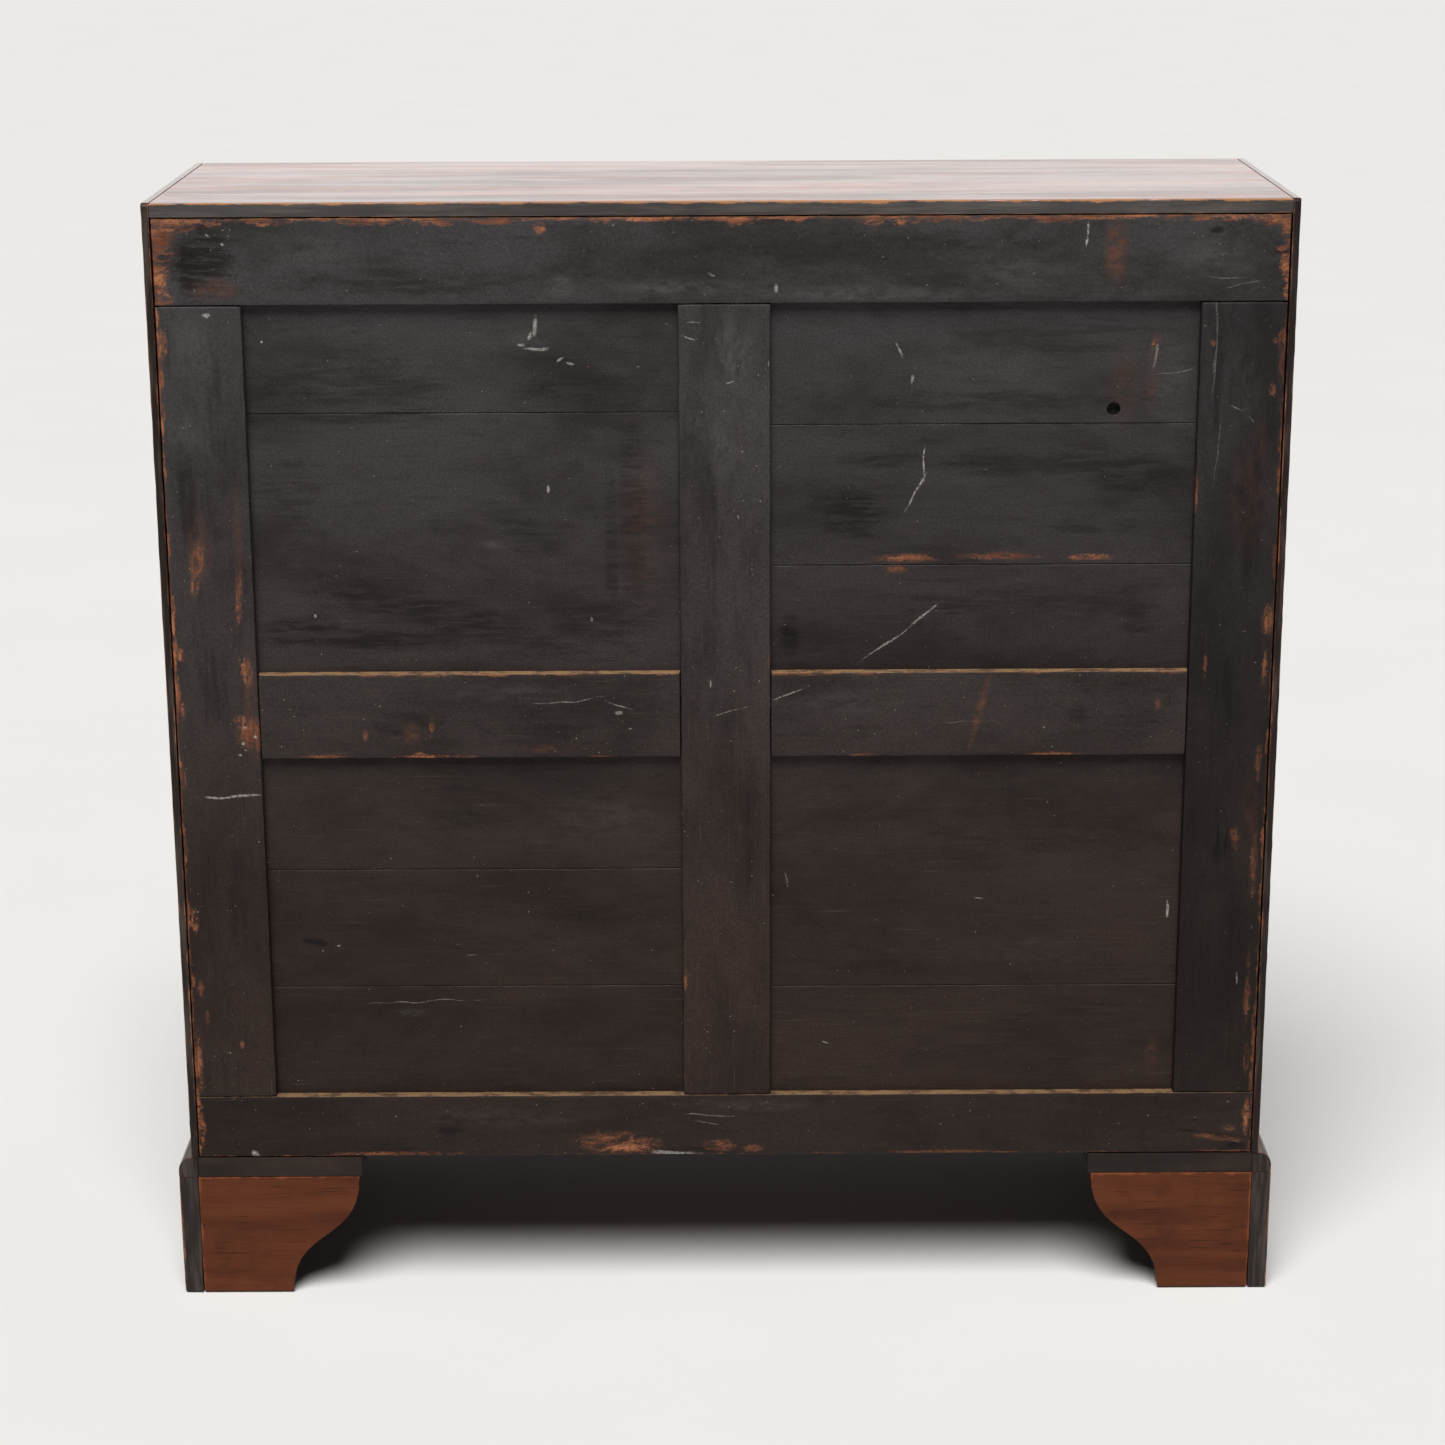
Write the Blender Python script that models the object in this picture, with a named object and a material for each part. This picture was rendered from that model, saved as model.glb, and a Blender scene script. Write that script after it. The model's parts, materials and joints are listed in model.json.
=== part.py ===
"""Glazed two-door curio cabinet on bracket feet, with a frame-and-panel back.

Metres, +Z up. The doors face -Y and the panelled back faces +Y. The origin is on the floor, under
the middle of the whole object's box, the key in its door included. Left and right are as seen by
someone who stands in front of the doors, so left is -X.
"""

import math

import bmesh
import bpy
from mathutils import Matrix, Vector
from mathutils.geometry import interpolate_bezier

# Whole cabinet
CASE_WIDTH = 1.070
CASE_DEPTH = 0.335
HEIGHT = 1.100
CASE_BOTTOM = 0.149
KEY_PROUD = 0.036
FIT = 0.0003
PAST = 0.002

# Case boards
SIDE_T = 0.020
LAP = 0.0075
TOP_T = 0.020
TOP_LIP = 0.0133
BOTTOM_T = 0.018
SHELF_T = 0.018
SHELF_BOTTOMS = {"shelf_lower": 0.4607, "shelf_upper": 0.7703}
DADO = 0.006

# Back frame
BACK_T = 0.021
BACK_SIDE_GAP = 0.0008
BACK_TOP = 1.0862
TOP_RAIL_BOTTOM = 1.0044
MID_RAIL = (0.5652, 0.6502)
BOTTOM_RAIL = (0.1495, 0.2149)
STILE_INNER = 0.446
MUNTIN = (-0.0459, 0.0411)
GROOVE = (0.009, 0.017)
GROOVE_DEEP = 0.008
PANEL_PLAY = 0.0005
TENON_LONG = 0.030
TENON_SHOULDER = 0.010
SEAM_WIDE = 0.0010
SEAM_DEEP = 0.0008
SEAMS = {
    "upper_left": (0.889, 0.753),
    "upper_right": (0.9014,),
    "lower_left": (0.3263,),
    "lower_right": (0.4495, 0.3278),
}
CABLE_HOLE = {"x": -0.3682, "z": 0.9024, "radius": 0.00635}

# Base and feet
BASE_PROUD = 0.013
BRACKET_T = 0.019
BRACKET_TOP = 0.1275
REAR_SET_IN = 0.001
FRONT_BRACKET_LONG = 0.181
FRONT_BRACKET_FOOT = 0.1105
SIDE_BRACKET_LONG = 0.135
OGEE_HANDLE = 0.075
OGEE_STEPS = 14
MOULDING_T = 0.0195
MOULDING_SHOULDER = 0.135
OVOLO_STEPS = 6
RUNNER_INNER = 0.364
GLUE_BLOCK = 0.034
GLUE_BLOCK_LIFT = 0.002

# Doors
DOOR_T = 0.022
DOOR_GAP = 0.0015
DOOR_STILE = 0.048
DOOR_TOP_RAIL = 0.048
DOOR_BOTTOM_RAIL = 0.060
DOOR_TENON = (0.0055, 0.0135)
REBATE = 0.008
GLASS_T = 0.0022
BAR_WIDE = 0.014
BAR_SET_IN = 0.002

# Butt hinges
HINGE_PROUD = 0.0025
HINGE_LONG = 0.065
HINGE_FROM_END = 0.120
LEAF_T = 0.0012
LEAF_WIDE = 0.018
LEAF_GAP = 0.0007
KNUCKLE_R = 0.0036
PIN_R = 0.0020
PIN_BORE_R = 0.0023
PIN_END = 0.001

# Lock, in the right door
KEY_X = 0.024
KEY_Z = 0.620
LOCK_FROM_EDGE = 0.003
LOCK_WIDE = 0.040
LOCK_LOW = 0.020
LOCK_HIGH = 0.025
LOCK_DEEP = 0.0103
LOCK_WALL = 0.0015
LOCK_BACK_WALL = 0.0013
BOLT_Y = (0.0006, 0.0036)
BOLT_Z = (0.005, 0.017)
BOLT_LONG = 0.033
SHAFT_R = 0.0025
SHAFT_TIP = 0.0086
BIT_Y = (0.0042, 0.0082)
BIT_LONG = 0.010
BIT_T = 0.002
KEYHOLE_R = 0.0029
KEYHOLE_SLOT = 0.0028
KEYHOLE_LONG = 0.0105
BOW_R = 0.0105
BOW_HOLE_R = 0.0070
BOW_T = 0.003
COLLAR_R = 0.004
ESCUTCHEON_T = 0.0012
ESCUTCHEON_HALF = (0.0105, 0.0175)

# Barrel bolt, at the top of the left door
BARREL_X = -0.024
BARREL_R = 0.003
BARREL_BORE_R = 0.0033
BARREL_FROM_DOOR = 0.0058
BARREL_TOP = 1.0775
BARREL_LONG = 0.0935
BOLT_PLATE_Z = (0.980, 1.074)
BOLT_PLATE_HALF = 0.010
BOLT_PLATE_T = 0.0012
KEEPER_HALF = 0.0055
KEEPER_DEEP = 0.0105
KEEPERS = ((0.990, 1.000), (1.058, 1.068))
KNOB_Z = 1.018
KNOB_R = 0.0025
KNOB_END = 0.016
BOLT_HOLE_R = 0.0034
BOLT_HOLE_DEEP = 0.0075

# Planes worked out from the sizes above
BACK_Y = (CASE_DEPTH + KEY_PROUD) / 2
FRONT_Y = BACK_Y - CASE_DEPTH
DOOR_BACK_Y = FRONT_Y + DOOR_T
FRAME_Y = (BACK_Y - BACK_T, BACK_Y)
SLAB_Y = (BACK_Y - GROOVE[1] + FIT, BACK_Y - GROOVE[0] - FIT)
GROOVE_Y = (BACK_Y - GROOVE[1], BACK_Y - GROOVE[0])
SIDE_IN = CASE_WIDTH / 2 - SIDE_T
LAP_IN = CASE_WIDTH / 2 - LAP
BACK_HALF = LAP_IN - BACK_SIDE_GAP
BOTTOM_TOP = CASE_BOTTOM + BOTTOM_T
TOP_BOTTOM = HEIGHT - TOP_T
SHELF_FRONT_Y = DOOR_BACK_Y + DOOR_GAP
DOOR_Z = (BOTTOM_TOP + DOOR_GAP, TOP_BOTTOM - DOOR_GAP)
DOOR_X = (DOOR_GAP / 2, SIDE_IN - DOOR_GAP)
HINGE_X = SIDE_IN - DOOR_GAP / 2
HINGE_Y = FRONT_Y - HINGE_PROUD
HINGE_ZS = (DOOR_Z[0] + HINGE_FROM_END, DOOR_Z[1] - HINGE_FROM_END)
BASE_HALF = CASE_WIDTH / 2 + BASE_PROUD
BASE_FRONT_Y = FRONT_Y - BASE_PROUD
BASE_BACK_Y = BACK_Y - REAR_SET_IN
BASE_STRIP_Z = (BRACKET_TOP + FIT, CASE_BOTTOM - FIT)
OGEE_RUN = FRONT_BRACKET_LONG - FRONT_BRACKET_FOOT
SIDES = {"left": -1, "right": 1}

# Colour, roughness, metallic value and transmission of each finish
LOOKS = {
    "mahogany": ((0.17, 0.055, 0.025), 0.35, 0.0, 0.0),
    "old_paint": ((0.022, 0.020, 0.018), 0.75, 0.0, 0.0),
    "bare_wood": ((0.22, 0.13, 0.07), 0.8, 0.0, 0.0),
    "glass": ((0.9, 0.95, 0.93), 0.02, 0.0, 1.0),
    "brass": ((0.55, 0.38, 0.15), 0.35, 1.0, 0.0),
    "iron": ((0.12, 0.11, 0.10), 0.5, 1.0, 0.0),
}


def clear_scene():
    for thing in list(bpy.data.objects):
        bpy.data.objects.remove(thing)


def new_object(name, body):
    """Turns a bmesh into an object of the scene."""
    mesh = bpy.data.meshes.new(name)
    body.to_mesh(mesh)
    body.free()
    thing = bpy.data.objects.new(name, mesh)
    bpy.context.scene.collection.objects.link(thing)
    return thing


def box(x, y, z):
    """A box; x, y and z are its two ends along each axis, in either order."""
    ends = [sorted(pair) for pair in (x, y, z)]
    centre = Vector([(low + high) / 2 for low, high in ends])
    size = Vector([high - low for low, high in ends])
    body = bmesh.new()
    bmesh.ops.create_cube(body, size=1.0, matrix=Matrix.LocRotScale(centre, None, size))
    return new_object("box", body)


def rod(start, end, radius, sides=24):
    """A cylinder between two points."""
    start, end = Vector(start), Vector(end)
    turn = (end - start).to_track_quat("Z", "Y")
    body = bmesh.new()
    bmesh.ops.create_cone(
        body,
        cap_ends=True,
        segments=sides,
        radius1=radius,
        radius2=radius,
        depth=(end - start).length,
        matrix=Matrix.LocRotScale((start + end) / 2, turn, None),
    )
    return new_object("rod", body)


def prism(first, second):
    """A solid between two outlines with the same number of points."""
    body = bmesh.new()
    first = [body.verts.new(point) for point in first]
    second = [body.verts.new(point) for point in second]
    body.faces.new(first)
    body.faces.new(second[::-1])
    for i in range(len(first)):
        body.faces.new((first[i - 1], second[i - 1], second[i], first[i]))
    bmesh.ops.recalc_face_normals(body, faces=body.faces)
    return new_object("prism", body)


def combine(piece, other, operation):
    """Cuts the other solid from the piece, or joins it on, and uses it up."""
    modifier = piece.modifiers.new("combine", "BOOLEAN")
    modifier.operation = operation
    modifier.object = other
    with bpy.context.temp_override(object=piece, active_object=piece):
        bpy.ops.object.modifier_apply(modifier=modifier.name)
    bpy.data.objects.remove(other)


def cut(piece, *solids):
    for solid in solids:
        combine(piece, solid, "DIFFERENCE")


def join(piece, *solids):
    for solid in solids:
        combine(piece, solid, "UNION")


def look_of(name, finish):
    colour, roughness, metallic, transmission = LOOKS[finish]
    material = bpy.data.materials.new(f"{name}_{finish}")
    material.use_nodes = True
    shader = material.node_tree.nodes["Principled BSDF"]
    shader.inputs["Base Color"].default_value = (*colour, 1.0)
    shader.inputs["Roughness"].default_value = roughness
    shader.inputs["Metallic"].default_value = metallic
    shader.inputs["Transmission Weight"].default_value = transmission
    return material


def holder(name, location):
    """An empty that a group of pieces hangs from."""
    empty = bpy.data.objects.new(name, None)
    empty.location = location
    bpy.context.scene.collection.objects.link(empty)
    return empty


def finish(piece, name, look, parent, origin=None):
    """Names, colours and parents a piece, with its origin at the given point or at its middle."""
    if origin is None:
        corners = [Vector(corner) for corner in piece.bound_box]
        origin = (corners[0] + corners[6]) / 2
    origin = Vector(origin)
    piece.data.transform(Matrix.Translation(-origin))
    piece.location = origin - parent.location
    piece.parent = parent
    piece.name = name
    piece.data.name = name
    piece.data.materials.clear()
    piece.data.materials.append(look_of(name, look))
    piece.data.shade_smooth()
    piece.data.set_sharp_from_angle(angle=math.radians(35))


# Case


def hinge_recess(side, wood_x, centre_z):
    """Cutters for one hinge leaf and for the room its knuckles turn in."""
    half = HINGE_LONG / 2
    leaf = box(
        wood_x,
        (FRONT_Y - PAST, FRONT_Y + LEAF_WIDE + FIT),
        (centre_z - half - FIT, centre_z + half + FIT),
    )
    reach = half + 2 * PIN_END
    knuckles = rod(
        (side * HINGE_X, HINGE_Y, centre_z - reach),
        (side * HINGE_X, HINGE_Y, centre_z + reach),
        KNUCKLE_R + FIT,
    )
    return leaf, knuckles


def build_side(side_name, cabinet):
    side = SIDES[side_name]
    in_x = side * (SIDE_IN - PAST)
    lap_x = side * LAP_IN
    panel = box(
        (side * SIDE_IN, side * CASE_WIDTH / 2), (FRONT_Y, BACK_Y), (CASE_BOTTOM, HEIGHT)
    )
    every_y = (FRONT_Y - PAST, BACK_Y + PAST)
    every_z = (CASE_BOTTOM - PAST, HEIGHT + PAST)
    cut(
        panel,
        box((in_x, lap_x), (FRAME_Y[0] - FIT, BACK_Y + PAST), every_z),
        box((in_x, lap_x), every_y, (TOP_BOTTOM - FIT, HEIGHT + PAST)),
        box((in_x, lap_x), every_y, (CASE_BOTTOM - PAST, BOTTOM_TOP + FIT)),
    )
    for bottom in SHELF_BOTTOMS.values():
        cut(
            panel,
            box(
                (in_x, side * (SIDE_IN + DADO)),
                (SHELF_FRONT_Y - FIT, FRAME_Y[0]),
                (bottom - FIT, bottom + SHELF_T + FIT),
            ),
        )
    recess_x = (in_x, side * (HINGE_X + LEAF_GAP / 2 + LEAF_T + FIT))
    for centre_z in HINGE_ZS:
        cut(panel, *hinge_recess(side, recess_x, centre_z))
    finish(panel, f"side_{side_name}", "mahogany", cabinet)


def build_case(cabinet):
    for side_name in SIDES:
        build_side(side_name, cabinet)
    board_x = (FIT - LAP_IN, LAP_IN - FIT)
    top = box(board_x, (FRONT_Y, BACK_Y), (TOP_BOTTOM, HEIGHT))
    barrel_y = DOOR_BACK_Y + BARREL_FROM_DOOR
    cut(
        top,
        box(
            (-LAP_IN - PAST, LAP_IN + PAST),
            (FRAME_Y[0] - FIT, BACK_Y + PAST),
            (TOP_BOTTOM - PAST, HEIGHT - TOP_LIP),
        ),
        rod(
            (BARREL_X, barrel_y, TOP_BOTTOM - PAST),
            (BARREL_X, barrel_y, TOP_BOTTOM + BOLT_HOLE_DEEP),
            BOLT_HOLE_R,
        ),
    )
    finish(top, "top_board", "mahogany", cabinet)
    bottom = box(board_x, (FRONT_Y, FRAME_Y[0] - FIT), (CASE_BOTTOM, BOTTOM_TOP))
    finish(bottom, "bottom_board", "mahogany", cabinet)
    shelf_half = SIDE_IN + DADO - FIT
    for name, bottom_z in SHELF_BOTTOMS.items():
        shelf = box(
            (-shelf_half, shelf_half),
            (SHELF_FRONT_Y, FRAME_Y[0] - FIT),
            (bottom_z, bottom_z + SHELF_T),
        )
        finish(shelf, name, "mahogany", cabinet)


# Back


def build_back_rail(name, z, inner_z, cabinet):
    """A full-width rail, grooved along its inner edge and mortised for the upright members."""
    rail = box((-BACK_HALF, BACK_HALF), FRAME_Y, z)
    inward = math.copysign(1, sum(z) / 2 - inner_z)
    open_z = inner_z - inward * PAST
    groove_half = BACK_HALF - TENON_SHOULDER
    mortise_z = (open_z, inner_z + inward * (TENON_LONG + PANEL_PLAY))
    stile = (STILE_INNER + TENON_SHOULDER, BACK_HALF - TENON_SHOULDER)
    cut(
        rail,
        box((-groove_half, groove_half), GROOVE_Y, (open_z, inner_z + inward * GROOVE_DEEP)),
        box(stile, GROOVE_Y, mortise_z),
        box((-stile[0], -stile[1]), GROOVE_Y, mortise_z),
        box((MUNTIN[0] + TENON_SHOULDER, MUNTIN[1] - TENON_SHOULDER), GROOVE_Y, mortise_z),
    )
    finish(rail, name, "old_paint", cabinet)


def build_back_upright(name, x, grooved_edges, cabinet):
    """A stile or the muntin. Each grooved edge is an x and the direction into the wood."""
    z = (BOTTOM_RAIL[1] + FIT, TOP_RAIL_BOTTOM - FIT)
    upright = box(x, FRAME_Y, z)
    tenon_x = (min(x) + TENON_SHOULDER + FIT, max(x) - TENON_SHOULDER - FIT)
    for end, outward in ((z[0], -1), (z[1], 1)):
        tenon_z = (end - outward * TENON_SHOULDER, end + outward * (TENON_LONG - FIT))
        join(upright, box(tenon_x, SLAB_Y, tenon_z))
    mortise_z = (MID_RAIL[0] + TENON_SHOULDER, MID_RAIL[1] - TENON_SHOULDER)
    for edge, inward in grooved_edges:
        open_x = edge - inward * PAST
        groove_x = (open_x, edge + inward * GROOVE_DEEP)
        mortise_x = (open_x, edge + inward * (TENON_LONG + PANEL_PLAY))
        cut(
            upright,
            box(groove_x, GROOVE_Y, (z[0] - PAST, z[1] + PAST)),
            box(mortise_x, GROOVE_Y, mortise_z),
        )
    finish(upright, name, "old_paint", cabinet)


def build_mid_rail(name, x, cabinet):
    rail = box((x[0] + FIT, x[1] - FIT), FRAME_Y, MID_RAIL)
    tenon_z = (MID_RAIL[0] + TENON_SHOULDER + FIT, MID_RAIL[1] - TENON_SHOULDER - FIT)
    join(rail, box((x[0] - TENON_LONG + FIT, x[1] + TENON_LONG - FIT), SLAB_Y, tenon_z))
    every_x = (x[0] - TENON_LONG - PAST, x[1] + TENON_LONG + PAST)
    cut(
        rail,
        box(every_x, GROOVE_Y, (MID_RAIL[0] - PAST, MID_RAIL[0] + GROOVE_DEEP)),
        box(every_x, GROOVE_Y, (MID_RAIL[1] - GROOVE_DEEP, MID_RAIL[1] + PAST)),
    )
    finish(rail, name, "old_paint", cabinet)


def build_back_panel(place, x, z, cabinet):
    """A panel of boards glued edge to edge, held in the grooves; each glue line shows as a kerf."""
    tongue = GROOVE_DEEP - PANEL_PLAY
    panel = box((x[0] - tongue, x[1] + tongue), SLAB_Y, (z[0] - tongue, z[1] + tongue))
    every_x = (x[0] - GROOVE_DEEP - PAST, x[1] + GROOVE_DEEP + PAST)
    for seam in SEAMS[place]:
        kerf_z = (seam - SEAM_WIDE / 2, seam + SEAM_WIDE / 2)
        cut(panel, box(every_x, (SLAB_Y[1] - SEAM_DEEP, SLAB_Y[1] + PAST), kerf_z))
    if place == "upper_left":
        hole_x, hole_z = CABLE_HOLE["x"], CABLE_HOLE["z"]
        start = (hole_x, SLAB_Y[0] - PAST, hole_z)
        end = (hole_x, SLAB_Y[1] + PAST, hole_z)
        cut(panel, rod(start, end, CABLE_HOLE["radius"], 32))
    finish(panel, f"back_panel_{place}", "old_paint", cabinet)


def build_back(cabinet):
    build_back_rail("back_top_rail", (TOP_RAIL_BOTTOM, BACK_TOP), TOP_RAIL_BOTTOM, cabinet)
    build_back_rail("back_bottom_rail", BOTTOM_RAIL, BOTTOM_RAIL[1], cabinet)
    for side_name, side in SIDES.items():
        stile_x = (side * STILE_INNER, side * BACK_HALF)
        edges = [(side * STILE_INNER, side)]
        build_back_upright(f"back_stile_{side_name}", stile_x, edges, cabinet)
    build_back_upright("back_muntin", MUNTIN, [(MUNTIN[0], 1), (MUNTIN[1], -1)], cabinet)
    bays = {"left": (-STILE_INNER, MUNTIN[0]), "right": (MUNTIN[1], STILE_INNER)}
    for side_name, bay in bays.items():
        build_mid_rail(f"back_mid_rail_{side_name}", bay, cabinet)
        build_back_panel(f"upper_{side_name}", bay, (MID_RAIL[1], TOP_RAIL_BOTTOM), cabinet)
        build_back_panel(f"lower_{side_name}", bay, (BOTTOM_RAIL[1], MID_RAIL[0]), cabinet)


# Base and feet


def build_bracket(name, long, foot, start, mitred, place, cabinet):
    """One ogee bracket. place turns run, depth and height into a point; run starts at the corner."""
    floor, top = Vector((foot, 0.0)), Vector((long, BRACKET_TOP))
    handle = Vector((0.0, OGEE_HANDLE))
    curve = interpolate_bezier(floor, floor + handle, top - handle, top, OGEE_STEPS)
    outline = [(point.x, point.y) for point in curve]
    faces = []
    for depth in (0.0, BRACKET_T):
        corner = start + (depth if mitred else 0.0)
        ring = [(corner, 0.0), *outline, (corner, BRACKET_TOP)]
        faces.append([place(run, depth, height) for run, height in ring])
    finish(prism(*faces), name, "mahogany", cabinet)


def build_foot(end_name, side_name, cabinet):
    side = SIDES[side_name]
    at_front = end_name == "front"

    def along_end(run, depth, height):
        y = BASE_FRONT_Y + depth if at_front else BASE_BACK_Y - depth
        return side * (BASE_HALF - run), y, height

    def along_side(run, depth, height):
        y = BASE_FRONT_Y + run if at_front else BASE_BACK_Y - run
        return side * (BASE_HALF - depth), y, height

    foot = f"foot_{end_name}_{side_name}"
    side_foot = SIDE_BRACKET_LONG - OGEE_RUN
    end_start = FIT if at_front else BRACKET_T + FIT
    end_bracket, side_bracket = f"{foot}_{end_name}_bracket", f"{foot}_side_bracket"
    build_bracket(
        end_bracket, FRONT_BRACKET_LONG, FRONT_BRACKET_FOOT, end_start, at_front, along_end, cabinet
    )
    side_start = FIT if at_front else 0.0
    build_bracket(
        side_bracket, SIDE_BRACKET_LONG, side_foot, side_start, at_front, along_side, cabinet
    )
    near = BRACKET_T + 2 * FIT
    far = near + GLUE_BLOCK
    low = along_end(near, near, GLUE_BLOCK_LIFT)
    high = along_end(far, far, BRACKET_TOP - FIT)
    block = box(*zip(low, high))
    finish(block, f"{foot}_glue_block", "bare_wood", cabinet)


def moulding_section():
    """Points of depth behind the outer face and height: square below, with an ovolo on top."""
    low, high = BASE_STRIP_Z
    reach = BASE_PROUD - FIT
    ovolo = []
    for step in range(OVOLO_STEPS + 1):
        turn = math.radians(90) * step / OVOLO_STEPS
        depth = reach * (1 - math.cos(turn))
        ovolo.append((depth, MOULDING_SHOULDER + (high - MOULDING_SHOULDER) * math.sin(turn)))
    return [(MOULDING_T, low), (0.0, low), *ovolo, (MOULDING_T, high)]


def build_base(cabinet):
    section = moulding_section()
    ends = []
    for side in (-1, 1):
        ends.append([(side * (BASE_HALF - FIT - t), BASE_FRONT_Y + t, z) for t, z in section])
    finish(prism(*ends), "base_moulding_front", "mahogany", cabinet)
    for side_name, side in SIDES.items():
        front = [(side * (BASE_HALF - t), BASE_FRONT_Y + t + FIT, z) for t, z in section]
        back = [(side * (BASE_HALF - t), BASE_BACK_Y, z) for t, z in section]
        finish(prism(front, back), f"base_moulding_{side_name}", "mahogany", cabinet)
        runner = box(
            (side * RUNNER_INNER, side * (BASE_HALF - MOULDING_T - FIT)),
            (BASE_FRONT_Y + MOULDING_T + FIT, BASE_BACK_Y),
            BASE_STRIP_Z,
        )
        finish(runner, f"base_runner_{side_name}", "bare_wood", cabinet)
        for end_name in ("front", "rear"):
            build_foot(end_name, side_name, cabinet)


# Doors


def build_door_stile(name, edge, inward, hinge_side, axis):
    """A door stile: mortised at its ends for the rails and rebated behind for the glass."""
    inner = edge + inward * DOOR_STILE
    stile = box((edge, inner), (FRONT_Y, DOOR_BACK_Y), DOOR_Z)
    open_x = inner + inward * PAST
    sight_z = (DOOR_Z[0] + DOOR_BOTTOM_RAIL, DOOR_Z[1] - DOOR_TOP_RAIL)
    mortise_x = (open_x, inner - inward * (TENON_LONG + PANEL_PLAY))
    mortise_y = (FRONT_Y + DOOR_TENON[0], FRONT_Y + DOOR_TENON[1])
    cut(
        stile,
        box(
            (open_x, inner - inward * REBATE),
            (DOOR_BACK_Y - REBATE, DOOR_BACK_Y + PAST),
            (sight_z[0] - REBATE, sight_z[1] + REBATE),
        ),
        box(mortise_x, mortise_y, (DOOR_Z[0] + TENON_SHOULDER, sight_z[0] - TENON_SHOULDER)),
        box(mortise_x, mortise_y, (sight_z[1] + TENON_SHOULDER, DOOR_Z[1] - TENON_SHOULDER)),
    )
    if hinge_side:
        recess_x = (
            hinge_side * (HINGE_X + PAST),
            hinge_side * (HINGE_X - LEAF_GAP / 2 - LEAF_T - FIT),
        )
        for centre_z in HINGE_ZS:
            cut(stile, *hinge_recess(hinge_side, recess_x, centre_z))
    if name == "right_door_meeting_stile":
        cut(stile, *keyhole(FRONT_Y - PAST, DOOR_BACK_Y + PAST))
    finish(stile, name, "mahogany", axis)


def build_door_rail(name, x, z, sight_z, axis):
    """A door rail, tenoned at both ends and rebated behind along its sight edge."""
    rail = box((x[0] + FIT, x[1] - FIT), (FRONT_Y, DOOR_BACK_Y), z)
    tenon_y = (FRONT_Y + DOOR_TENON[0] + FIT, FRONT_Y + DOOR_TENON[1] - FIT)
    tenon_z = (z[0] + TENON_SHOULDER + FIT, z[1] - TENON_SHOULDER - FIT)
    join(rail, box((x[0] - TENON_LONG + FIT, x[1] + TENON_LONG - FIT), tenon_y, tenon_z))
    into_wood = math.copysign(1, sum(z) / 2 - sight_z)
    rebate_z = (sight_z - into_wood * PAST, sight_z + into_wood * REBATE)
    rebate_y = (DOOR_BACK_Y - REBATE, DOOR_BACK_Y + PAST)
    cut(rail, box((x[0] - PAST, x[1] + PAST), rebate_y, rebate_z))
    finish(rail, name, "mahogany", axis)


def build_glazing(door_name, x, z, axis):
    """The door's glass, and the lattice of one upright and two level bars in front of it."""
    tongue = REBATE - PANEL_PLAY
    glass_front = DOOR_BACK_Y - REBATE + FIT
    glass = box(
        (x[0] - tongue, x[1] + tongue),
        (glass_front, glass_front + GLASS_T),
        (z[0] - tongue, z[1] + tongue),
    )
    finish(glass, f"{door_name}_glass", "glass", axis)
    bar_y = (FRONT_Y + BAR_SET_IN, glass_front - FIT)
    middle = sum(x) / 2
    bars = box((middle - BAR_WIDE / 2, middle + BAR_WIDE / 2), bar_y, (z[0] + FIT, z[1] - FIT))
    for third in (1, 2):
        level = z[0] + (z[1] - z[0]) * third / 3
        level_z = (level - BAR_WIDE / 2, level + BAR_WIDE / 2)
        join(bars, box((x[0] + FIT, x[1] - FIT), bar_y, level_z))
    finish(bars, f"{door_name}_glazing_bars", "mahogany", axis)


def build_hinge(door_name, height_name, side, centre_z, cabinet, axis):
    """One butt hinge: the case's leaf carries the pin, and the door's leaf turns on it."""
    third = HINGE_LONG / 3
    low, high = centre_z - HINGE_LONG / 2, centre_z + HINGE_LONG / 2
    leaf_y = (HINGE_Y, FRONT_Y + LEAF_WIDE)

    def on_axis(z):
        return side * HINGE_X, HINGE_Y, z

    def leaf(hand):
        near = HINGE_X + hand * LEAF_GAP / 2
        return box((side * near, side * (near + hand * LEAF_T)), leaf_y, (low, high))

    def knuckle(start, end):
        return rod(on_axis(start), on_axis(end), KNUCKLE_R)

    case_leaf = leaf(1)
    middle = (low + third, high - third)
    room = KNUCKLE_R + FIT
    cut(case_leaf, rod(on_axis(middle[0] - FIT / 2), on_axis(middle[1] + FIT / 2), room))
    join(
        case_leaf,
        knuckle(low, middle[0] - FIT / 2),
        knuckle(middle[1] + FIT / 2, high),
        rod(on_axis(low - PIN_END), on_axis(high + PIN_END), PIN_R),
    )
    name = f"{door_name}_{height_name}_hinge"
    finish(case_leaf, f"{name}_case_leaf", "brass", cabinet, on_axis(centre_z))
    door_leaf = leaf(-1)
    cut(
        door_leaf,
        rod(on_axis(low - PAST), on_axis(middle[0] + FIT / 2), room),
        rod(on_axis(middle[1] - FIT / 2), on_axis(high + PAST), room),
    )
    join(door_leaf, knuckle(middle[0] + FIT / 2, middle[1] - FIT / 2))
    cut(door_leaf, rod(on_axis(low - PAST), on_axis(high + PAST), PIN_BORE_R))
    finish(door_leaf, f"{name}_door_leaf", "brass", axis, on_axis(centre_z))


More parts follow.
